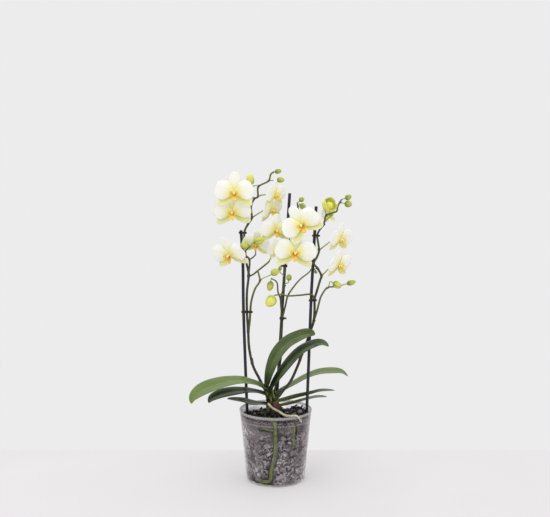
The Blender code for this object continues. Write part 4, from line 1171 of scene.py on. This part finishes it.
def leaf_grid(points, half_width, at_base, at_tip, seed):
    """Middle surface of a strap leaf, with a folded sheath that clasps the crown below it."""
    first = Vector(points[0])
    side = 1 if points[-1][0] > CROWN_AT[0] else -1
    sheath = [Vector((CROWN_AT[0] + side * 3.5, first.y * 0.4, max(first.z - 30, 108))),
              Vector((CROWN_AT[0] + side * 5.5, first.y * 0.8, max(first.z - 14, 113)))]
    line = smooth([*sheath, *points], 8)
    sheath_share = len(sheath) / (len(sheath) + len(points) - 1)
    rows, columns = 56, 15
    middle = at_share(line, 0.6) - at_share(line, 0.5)
    flip = 1 if middle.cross(Vector(at_base).lerp(Vector(at_tip), 0.5)).z > 0 else -1
    grid = np.zeros((rows, columns, 3))
    for i in range(rows):
        t = i / (rows - 1)
        here = at_share(line, t)
        ahead = (at_share(line, t + 0.02) - at_share(line, t - 0.02)).normalized()
        out = max((t - sheath_share) / (1 - sheath_share), 0)
        back = Vector(at_base).lerp(Vector(at_tip), out)
        back = (back - ahead * back.dot(ahead)).normalized()
        up = ahead.cross(back) * flip
        width = LEAF_FOOT + (1 - LEAF_FOOT) * math.sin(math.pi / 2 * min(out / LEAF_WIDEST, 1)) ** 1.5
        past = max(out - LEAF_WIDEST, 0) / (1 - LEAF_WIDEST)
        width *= max(1 - past**2, 0) ** 0.66
        width += 0.1 * max(1 - t / sheath_share, 0)
        width = max(width * half_width, 0.25)
        fold = 0.32 + 0.8 * max(1 - out / 0.3, 0) ** 1.5
        for j in range(columns):
            v = j / (columns - 1) * 2 - 1
            crease = math.sqrt(v * v + 0.006) - 0.077
            curl = -0.13 * abs(v) ** 3 * math.sin(math.pi * out)
            ripple = 0.035 * math.sin(9 * out + seed + 1.2 * v) * abs(v)
            grid[i, j] = here + back * width * v + up * width * (fold * crease + curl + ripple)
    return grid


def make_leaves(context):
    """Eight leaves in two ranks, each with its sheath, midrib and lens-shaped section."""
    plant = context.scene.orchid_plant
    skin = waxy_leaf(plant)
    for seed, (name, (points, half_width, at_base, at_tip, pale)) in enumerate(LEAVES.items()):
        form = Form("along", "across", "face", "tone")
        grid = leaf_grid(points, half_width, at_base, at_tip, seed)
        upward = np.cross(np.gradient(grid, axis=0), np.gradient(grid, axis=1))[30, 7]
        if upward[2] < 0:
            grid = grid[:, ::-1]
        blade(form, grid, plant.leaf_thickness / MM, tone=pale)
        piece(form, f"{name}_blade", skin, [name], levels=1)


def bract(form, place, ahead, out, radius, high, spread=1.5):
    """A pointed sheath that clasps a stem at a node."""
    rows, columns = 7, 7
    side = ahead.cross(out).normalized()
    out = side.cross(ahead).normalized()
    grid = np.zeros((rows, columns, 3))
    for i in range(rows):
        t = i / (rows - 1)
        half = spread * (1 - t) ** 0.6 + 0.03
        for j in range(columns):
            turn = half * (j / (columns - 1) * 2 - 1)
            reach = radius + 0.15 + 0.9 * t * t
            grid[i, j] = place + ahead * (high * t) + (out * math.cos(turn) + side * math.sin(turn)) * reach
    blade(form, grid, 0.35)


def stem_nodes(line, radii, starts):
    """Places along a stem where a stalk or a branch leaves it."""
    found = []
    for start in starts:
        i = min(range(len(line)), key=lambda k: (line[k] - start).length)
        if (line[i] - start).length < radii[i] + 1.5 and 3 < i < len(line) - 2:
            found.append(i)
    return sorted(set(found))


def make_spikes(context):
    """Three branched flower stems with their stalks, and the bracts at their nodes."""
    plant = context.scene.orchid_plant
    skin, papery = flower_stem(plant), dry_bract(plant)
    ties = {name: [] for name in SPIKES}
    for spike, face, yaw, pitch, _, span, start, _ in FLOWERS:
        way = facing(yaw, pitch) @ Vector((0, 0, 1))
        foot = Vector(face) - way * (FLOWER_CENTRE - 1.0) * span / FLOWER_SPAN
        ties[spike].append((FLOWER_STALK, start, foot, way))
    for spike, middle, yaw, pitch, long, _, start, _ in BUDS:
        way = facing(yaw, pitch) @ Vector((0, 0, 1))
        ties[spike].append((BUD_STALK, start, Vector(middle) - way * (long / 2 - 0.6), way))
    for name, runs in SPIKES.items():
        stems, sheaths = Form("tone"), Form()
        starts = [Vector(tie[1]) for tie in ties[name]] + [Vector(run[2][0]) for run in runs[1:]]
        for order, (start_radius, end_radius, points) in enumerate(runs):
            line = smooth(points, 7)
            last = len(line) - 1
            plain = [start_radius + (end_radius - start_radius) * i / last for i in range(last + 1)]
            nodes = stem_nodes(line, plain, starts)
            low = [i for i, p in enumerate(line) if order == 0 and 175 < p.z < 250]
            nodes += low[len(low) // 3 :][:1]  # one bare node on the lower part of a main stem
            radii = []
            for i, radius in enumerate(plain):
                swell = sum(math.exp(-(((line[i] - line[k]).length / 2.2) ** 2)) for k in nodes)
                radii.append(radius * (1 + 0.22 * min(swell, 1)))
            young = 0.0 if order == 0 else 0.12
            rise = 0.3 if order == 0 else 0.35
            tube(stems, line, radii, 14, (order > 0, True), tone=lambda t: young + rise * t**1.5)
            for turn, i in enumerate(nodes):
                ahead = (line[min(i + 1, last)] - line[max(i - 1, 0)]).normalized()
                out = Vector((math.cos(2.6 * turn), -0.6 - 0.3 * math.sin(turn), 0))
                tall = 9.0 if line[i].z < 260 else 3.6
                bract(sheaths, line[i] - ahead * 0.6, ahead, out, radii[i], tall)
        for radius, start, end, way in ties[name]:
            line = stalk(start, end, way)
            last = len(line) - 1
            shares = [i / last for i in range(last + 1)]
            radii = [radius * (1 + 0.35 * (1 - t) ** 6 + 0.3 * t**5) for t in shares]
            tube(stems, line, radii, 10, (True, True), tone=lambda t: 0.35 + 0.6 * min(2.2 * t, 1))
        piece(stems, f"{name}_stem", skin, [name])
        piece(sheaths, f"{name}_bracts", papery, [name], levels=1)


TISSUE_MARKS = ("along", "across", "tone")

# Parts of a flower at a span of 60: length, width, widest, claw, blunt, cup, bow and wave, as tepal() takes
HOOD = (34.5, 20, 0.52, 0.34, 0.42, -0.14, 0.05, 0.5)
PETAL = (32, 35, 0.54, 0.1, 0.38, -0.12, -0.02, 1.0)
SEPAL = (33, 19, 0.45, 0.36, 0.52, -0.2, 0.06, 0.8)
SIDE_LOBE = (11.0, 8.6, 0.62, 0.35, 0.42, 0.6, 0.3, 0.5)
TONGUE = (11.0, 8.0, 0.5, 0.45, 0.8, 0.3, -0.25, 0.3)
TENDRIL = ((0.4, -8.8, 15.6), (1.4, -10.0, 16.4), (2.7, -10.0, 16.2), (3.4, -8.9, 15.4))
COLUMN = ((0, 0, 1), (0, 0, 5), (0, 0.9, 8.5), (0, 1.7, 11.5), (0, 1.5, 13.8))
COLUMN_RADII = ((0, 0.3, 0.6, 1), (1.3, 1.8, 1.8, 2.1))  # shares of its length and radii there


def make_flowers(context):
    """Thirteen flowers, each with sepals, petals, a three-lobed lip and a column."""
    flower = context.scene.orchid_flower
    thick = flower.tepal_thickness / MM
    white = petal_skin("orchid_petal_pearly", flower, flower.petal[:], 0.5, 0.1)
    green = petal_skin("orchid_sepal_pearly", flower, linear("FAF8DC"), 0.7, 0.95)
    lip_wax = lip_skin(flower)
    horn = petal_skin("orchid_column_waxy", flower, linear("F6EDC0"), 0.9, 0.0)
    for number, (_, face, yaw, pitch, roll, span, _, warmth) in enumerate(FLOWERS):
        rng = random.Random(100 + number)
        size = span / FLOWER_SPAN
        way = facing(yaw, pitch) @ Vector((0, 0, 1))
        foot = Vector(face) - way * FLOWER_CENTRE * size
        whole = Matrix.Translation(foot) @ facing(yaw, pitch, roll) @ Matrix.Scale(size, 4)
        name, node_name = f"flower_{number + 1:02d}", [f"flower_{number + 1:02d}"]

        def spot(turn, lift, lean):
            turned = Matrix.Rotation(math.radians(turn + rng.uniform(-3, 3)), 4, "Z")
            leant = Matrix.Rotation(math.radians(-lean + rng.uniform(-3, 3)), 4, "Y")
            return whole @ Matrix.Translation((0, 0, lift)) @ turned @ leant

        def add_tepals(form, rows):
            for outline, turn, lean, lift in rows:
                grid = tepal(*outline, rng.random())
                blade(form, placed(grid, spot(turn, lift, lean)), thick, tone=rng.random())

        upper = Form(*TISSUE_MARKS)
        add_tepals(upper, ((HOOD, 90, -4, 6.2), (PETAL, 18, 5, 7.4), (PETAL, 162, 5, 7.6)))
        piece(upper, f"{name}_petals", white, node_name, levels=1)

        lower = Form(*TISSUE_MARKS)
        add_tepals(lower, ((SEPAL, 213, -6, 6.0), (SEPAL, 328, -6, 6.1)))
        piece(lower, f"{name}_sepals", green, node_name, levels=1)

        lip = Form("along", "tone")
        for side in (-1, 1):
            grid = tepal(*SIDE_LOBE, 0.2, 10, 9)
            lobe = pointing((1.0 * side, -2.2, 8.4), (0.8 * side, 0.34, 0.5), (-0.42 * side, 0.3, 0.85))
            blade(lip, placed(grid, whole @ lobe), 0.8, tone=0.02 + 0.3 * warmth)
        grid = tepal(*TONGUE, 0.4, 11, 9)
        tongue = pointing((0, -2.4, 9.0), (0, -0.7, 0.7), (0, 0.7, 0.7))
        blade(lip, placed(grid, whole @ tongue), 1.2, tone=0.08 + 0.5 * warmth)
        for side in (-1, 1):
            curl = [(x * side, y, z) for x, y, z in TENDRIL]
            line = [whole @ p for p in smooth(curl, 3)]
            radii = [size * 0.38 * (1 - 0.6 * i / (len(line) - 1)) for i in range(len(line))]
            tube(lip, line, radii, 6, (False, True), tone=0.1)
            knob = [whole @ Vector((0.9 * side, -2.2, 9.6)), whole @ Vector((0.9 * side, -1.3, 11.4))]
            tube(lip, knob, [1.3 * size, 1.0 * size], 10, (True, True), tone=0.5 + 0.5 * warmth, along=0.3)
        piece(lip, f"{name}_lip", lip_wax, node_name, levels=1)

        column = Form(*TISSUE_MARKS)
        line = [whole @ p for p in smooth(COLUMN, 3)]
        radii = [size * r for r in np.interp(np.linspace(0, 1, len(line)), *COLUMN_RADII)]
        tube(column, line, radii, 12, (True, True), along=lambda t: t, tone=0.3)
        cap = [whole @ Vector((0, 0.9, 14.4)), whole @ Vector((0, 0.4, 15.2))]
        tube(column, cap, [1.6 * size, 1.2 * size], 12, (True, True), along=0.5, tone=0.6)
        piece(column, f"{name}_column", horn, node_name, levels=1)


def bud_form(form, whole, tone, steps=30, rows=18):
    """A closed bud of unit length and width: three sepals that meet along seams, nipped at the tip."""
    points, seams, lengthwise = [], [], []
    for i in range(rows):
        t = i / (rows - 1)
        level = (1 - math.cos(math.pi * t)) / 2
        round_part = math.sqrt(max(1 - (2 * level - 1) ** 2, 0))
        reach = 0.5 * max(round_part, 0.03) ** 0.9 * (1.1 - 0.22 * level)
        for k in range(steps):
            turn = math.tau * k / steps
            off_seam = abs((turn / (math.tau / 3)) % 1 - 0.5) * 2
            groove = math.exp(-(((1 - off_seam) / 0.12) ** 2)) * math.sin(math.pi * t)
            ridge = 0.03 * math.cos(3 * turn) * math.sin(math.pi * t)
            radius = reach * (1 - 0.07 * groove + ridge)
            hook = 0.06 * t**3
            points.append(whole @ Vector((radius * math.cos(turn), radius * math.sin(turn) - hook, level)))
            seams.append(groove)
            lengthwise.append(level)
    form.add(points, closed_faces(rows, steps), along=lengthwise, across=seams, tone=tone)


def open_sepal(form, whole, long, wide, tone):
    """One sepal of a bud that is opening: a spoon round the bud, parted from it at the tip."""
    rows, columns = 12, 11
    grid = np.zeros((rows, columns, 3))
    for i in range(rows):
        t = i / (rows - 1)
        reach = wide * (0.1 + 0.5 * math.sin(math.pi / 2 * min(t / 0.6, 1))) - wide * 0.1 * max(t - 0.6, 0)
        half = 1.15 * math.sqrt(max(1 - (1.6 * t - 0.8) ** 2 / 0.66, 0.004))
        for j in range(columns):
            turn = half * (j / (columns - 1) * 2 - 1)
            grid[i, j] = whole @ Vector((reach * math.cos(turn), reach * math.sin(turn), long * t))
    blade(form, grid, 0.9, tone=tone)


def make_buds(context):
    """Seventeen closed buds and one whose sepals already part."""
    skin = bud_skin(context.scene.orchid_flower)
    for number, (_, middle, yaw, pitch, long, wide, _, ripe) in enumerate(BUDS):
        rng = random.Random(300 + number)
        way = facing(yaw, pitch) @ Vector((0, 0, 1))
        foot = Vector(middle) - way * long / 2
        turn = Matrix.Rotation(rng.uniform(0, math.tau), 4, "Z")
        whole = Matrix.Translation(foot) @ facing(yaw, pitch) @ turn
        form = Form(*TISSUE_MARKS)
        tone = 0.75 * ripe - 0.1
        if number == OPENING_BUD:
            bud_form(form, whole @ Matrix.Diagonal((wide * 0.8, wide * 0.8, long * 0.88, 1)), tone + 0.1)
            for k in range(3):
                open_sepal(form, whole @ Matrix.Rotation(k * math.tau / 3, 4, "Z"), long, wide, tone + 0.45)
        else:
            bud_form(form, whole @ Matrix.Diagonal((wide, wide, long, 1)), tone)
        piece(form, f"bud_{number + 1:02d}_skin", skin, [f"bud_{number + 1:02d}"])


# ---------------------------------------------------------------- canes and clips


def make_canes(context):
    """Three support canes with rounded tips."""
    skin = black_plastic("cane_plastic_extruded", "070B12", "1A222C", 0.38, 0.02)
    for name, points in CANES.items():
        line = smooth(points, 10)
        form = Form()
        end = (line[-1] - line[-2]).normalized()
        line[-1] = line[-1] - end * 0.8
        line += [line[-1] + end * 0.5, line[-1] + end * 0.8]
        radii = [CANE_RADIUS] * (len(line) - 2) + [CANE_RADIUS - 0.2, CANE_RADIUS - 0.7]
        tube(form, line, radii, 20)
        piece(form, f"{name}_rod", skin, [name])


def make_clips(context):
    """Six spring clips, each a rounded band with two ribbed grips."""
    skin = black_plastic("clip_plastic_moulded", "0E0A08", "2B201A", 0.35, 1.0)
    high, room, wall, bend = 3.0, 0.5, 1.0, 0.3
    inner = CANE_RADIUS + room
    section = []
    for a, b in ((-1, -1), (1, -1), (1, 1), (-1, 1)):
        for k in range(3):
            turn = math.atan2(b, a) - math.pi / 4 + math.pi / 4 * k
            section.append((a * (wall / 2 - bend) + bend * math.cos(turn),
                            b * (high / 2 - bend) + bend * math.sin(turn)))
    for name, (stems, height, grip_side) in CLIPS.items():
        cane, last = Vector((*stems[0], height)), Vector((*stems[1], height))
        along = (last - cane).normalized()
        heading = math.atan2(along.y, along.x)
        path = []
        for centre, middle in ((last, heading), (cane, heading + math.pi)):
            for step in range(-8, 9):
                angle = middle + math.radians(90 / 8 * step)
                path.append((centre, Vector((math.cos(angle), math.sin(angle), 0))))
        points = []
        for centre, out in path:
            for a, b in section:
                points.append(centre + out * (inner + wall / 2 + a) + Vector((0, 0, b)))
        rows, columns = len(path), len(section)
        faces = grid_faces(rows, columns, wrap=True)
        for j in range(columns):
            k = (j + 1) % columns
            faces.append(((rows - 1) * columns + j, (rows - 1) * columns + k, k, j))
        form = Form()
        form.add(points, faces)
        out = Vector((along.y, -along.x, 0)) * grip_side
        for spread in (-1, 1):
            way = (out + along * spread * 0.2).normalized()
            side = Vector((-way.y, way.x, 0))
            foot = (cane + last) / 2 + along * spread * 1.2 + way * inner
            grid = np.zeros((9, 7, 3))
            for i in range(9):
                for j in range(7):
                    rib = 0.12 * math.sin(i * 2.4)
                    rise = Vector((0, 0, 1.2 * (j / 3 - 1)))
                    grid[i, j] = foot + way * (0.3 + 4.2 * i / 8) + side * rib + rise
            blade(form, grid, 1.0)
        piece(form, f"{name}_spring", skin, [name])


# ---------------------------------------------------------------- stage


CAMERA_AT = (-0.0011, -1.75, 0.598)
CAMERA_DOWN = 7.4  # degrees below level


def make_stage(context):
    """Pale board, even surroundings, two large soft lights and the camera."""
    stage = context.scene.orchid_stage
    scene = context.scene
    half_width, front, back, thick = 2.4, -3.0, 0.155, 0.02
    shape = bmesh.new()
    bmesh.ops.create_cube(shape, size=1)
    spot = Matrix.Translation((0, (front + back) / 2, -thick / 2)) @ Matrix.Diagonal(
        (2 * half_width, back - front, thick, 1))
    bmesh.ops.transform(shape, matrix=spot, verts=shape.verts)
    mesh = bpy.data.meshes.new("floor")
    shape.to_mesh(mesh)
    shape.free()
    mesh.materials.append(painted_board(stage))
    board = bpy.data.objects.new("floor", mesh)
    scene.collection.objects.link(board)

    world = bpy.data.worlds.new("even_surroundings")
    world.use_nodes = True
    tree = world.node_tree
    backdrop = tree.nodes["Background"]
    backdrop.inputs["Color"].default_value = stage.wall[:]
    rise = node(tree, "SeparateXYZ", {0: node(tree, "TexCoord").outputs["Generated"]}).outputs["Z"]
    sky = node(tree, "MapRange", {
        "Value": rise, "From Min": -0.4, "From Max": 1.0, "To Min": 0.42, "To Max": 1.5}).outputs[0]
    around = node(tree, "Background", {"Color": stage.wall[:], "Strength": sky}).outputs[0]
    seen = node(tree, "LightPath").outputs["Is Camera Ray"]
    both = node(tree, "MixShader", {0: seen, 1: around, 2: backdrop.outputs[0]}).outputs[0]
    tree.links.new(both, tree.nodes["World Output"].inputs["Surface"])
    scene.world = world
    for name, place, target, side, power in (
        ("key", (-0.9, -1.5, 1.7), (0, 0, 0.25), 1.1, stage.key),
        ("fill", (1.4, -1.1, 0.9), (0, 0, 0.3), 0.9, stage.key * 0.3),
    ):
        data = bpy.data.lights.new(name, "AREA")
        data.energy = power
        data.shape = "DISK"
        data.size = side
        light = bpy.data.objects.new(name, data)
        light.location = place
        light.rotation_euler = (Vector(target) - Vector(place)).to_track_quat("-Z", "Y").to_euler()
        scene.collection.objects.link(light)

    data = bpy.data.cameras.new("camera")
    data.lens = stage.lens
    data.sensor_width = 36.0
    camera = bpy.data.objects.new("camera", data)
    camera.location = CAMERA_AT
    camera.rotation_euler = (math.radians(90 - CAMERA_DOWN), 0, 0)
    scene.collection.objects.link(camera)
    scene.camera = camera
    scene.view_settings.view_transform = "Standard"


# ---------------------------------------------------------------- operators and panel


class ORCHID_OT_pot(bpy.types.Operator):
    """Build the clear pot"""

    bl_idname = "orchid.pot"
    bl_label = "Pot"

    def execute(self, context):
        make_pot(context)
        return {"FINISHED"}


class ORCHID_OT_bark(bpy.types.Operator):
    """Fill the pot with bark"""

    bl_idname = "orchid.bark"
    bl_label = "Bark"

    def execute(self, context):
        make_bark(context)
        return {"FINISHED"}


class ORCHID_OT_roots(bpy.types.Operator):
    """Grow the roots over the rim and down the wall"""

    bl_idname = "orchid.roots"
    bl_label = "Roots"

    def execute(self, context):
        make_roots(context)
        return {"FINISHED"}


class ORCHID_OT_crown(bpy.types.Operator):
    """Build the crown"""

    bl_idname = "orchid.crown"
    bl_label = "Crown"

    def execute(self, context):
        make_crown(context)
        return {"FINISHED"}


class ORCHID_OT_leaves(bpy.types.Operator):
    """Build the leaves"""

    bl_idname = "orchid.leaves"
    bl_label = "Leaves"

    def execute(self, context):
        make_leaves(context)
        return {"FINISHED"}


class ORCHID_OT_spikes(bpy.types.Operator):
    """Build the flower stems with their stalks and bracts"""

    bl_idname = "orchid.spikes"
    bl_label = "Flower stems"

    def execute(self, context):
        make_spikes(context)
        return {"FINISHED"}


class ORCHID_OT_flowers(bpy.types.Operator):
    """Build the open flowers"""

    bl_idname = "orchid.flowers"
    bl_label = "Flowers"

    def execute(self, context):
        make_flowers(context)
        return {"FINISHED"}


class ORCHID_OT_buds(bpy.types.Operator):
    """Build the buds"""

    bl_idname = "orchid.buds"
    bl_label = "Buds"

    def execute(self, context):
        make_buds(context)
        return {"FINISHED"}


class ORCHID_OT_canes(bpy.types.Operator):
    """Build the support canes"""

    bl_idname = "orchid.canes"
    bl_label = "Canes"

    def execute(self, context):
        make_canes(context)
        return {"FINISHED"}


class ORCHID_OT_clips(bpy.types.Operator):
    """Build the stem clips"""

    bl_idname = "orchid.clips"
    bl_label = "Clips"

    def execute(self, context):
        make_clips(context)
        return {"FINISHED"}


class ORCHID_OT_stage(bpy.types.Operator):
    """Build the floor, the lights and the camera"""

    bl_idname = "orchid.stage"
    bl_label = "Stage"

    def execute(self, context):
        make_stage(context)
        return {"FINISHED"}


class ORCHID_PT_panel(bpy.types.Panel):
    bl_idname = "ORCHID_PT_panel"
    bl_label = "Potted Orchid"
    bl_space_type = "VIEW_3D"
    bl_region_type = "UI"
    bl_category = "Orchid"

    def draw(self, context):
        for operator in OPERATORS:
            self.layout.operator(operator.bl_idname)
        for group in SETTINGS:
            for name in SETTINGS[group].__annotations__:
                self.layout.prop(getattr(context.scene, group), name)


OPERATORS = (
    ORCHID_OT_stage, ORCHID_OT_pot, ORCHID_OT_bark, ORCHID_OT_roots, ORCHID_OT_crown, ORCHID_OT_leaves,
    ORCHID_OT_spikes, ORCHID_OT_flowers, ORCHID_OT_buds, ORCHID_OT_canes, ORCHID_OT_clips,
)
SETTINGS = {
    "orchid_pot": PotSettings,
    "orchid_plant": PlantSettings,
    "orchid_flower": FlowerSettings,
    "orchid_stage": StageSettings,
}


def register():
    for cls in (*SETTINGS.values(), *OPERATORS, ORCHID_PT_panel):
        bpy.utils.register_class(cls)
    for name, cls in SETTINGS.items():
        setattr(bpy.types.Scene, name, PointerProperty(type=cls))


def unregister():
    for name in SETTINGS:
        delattr(bpy.types.Scene, name)
    for cls in reversed((*SETTINGS.values(), *OPERATORS, ORCHID_PT_panel)):
        bpy.utils.unregister_class(cls)


def main():
    register()
    for operator in OPERATORS:
        getattr(bpy.ops.orchid, operator.bl_idname.split(".")[1])()
    bpy.context.view_layer.update()
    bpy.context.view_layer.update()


if __name__ == "__main__":
    main()
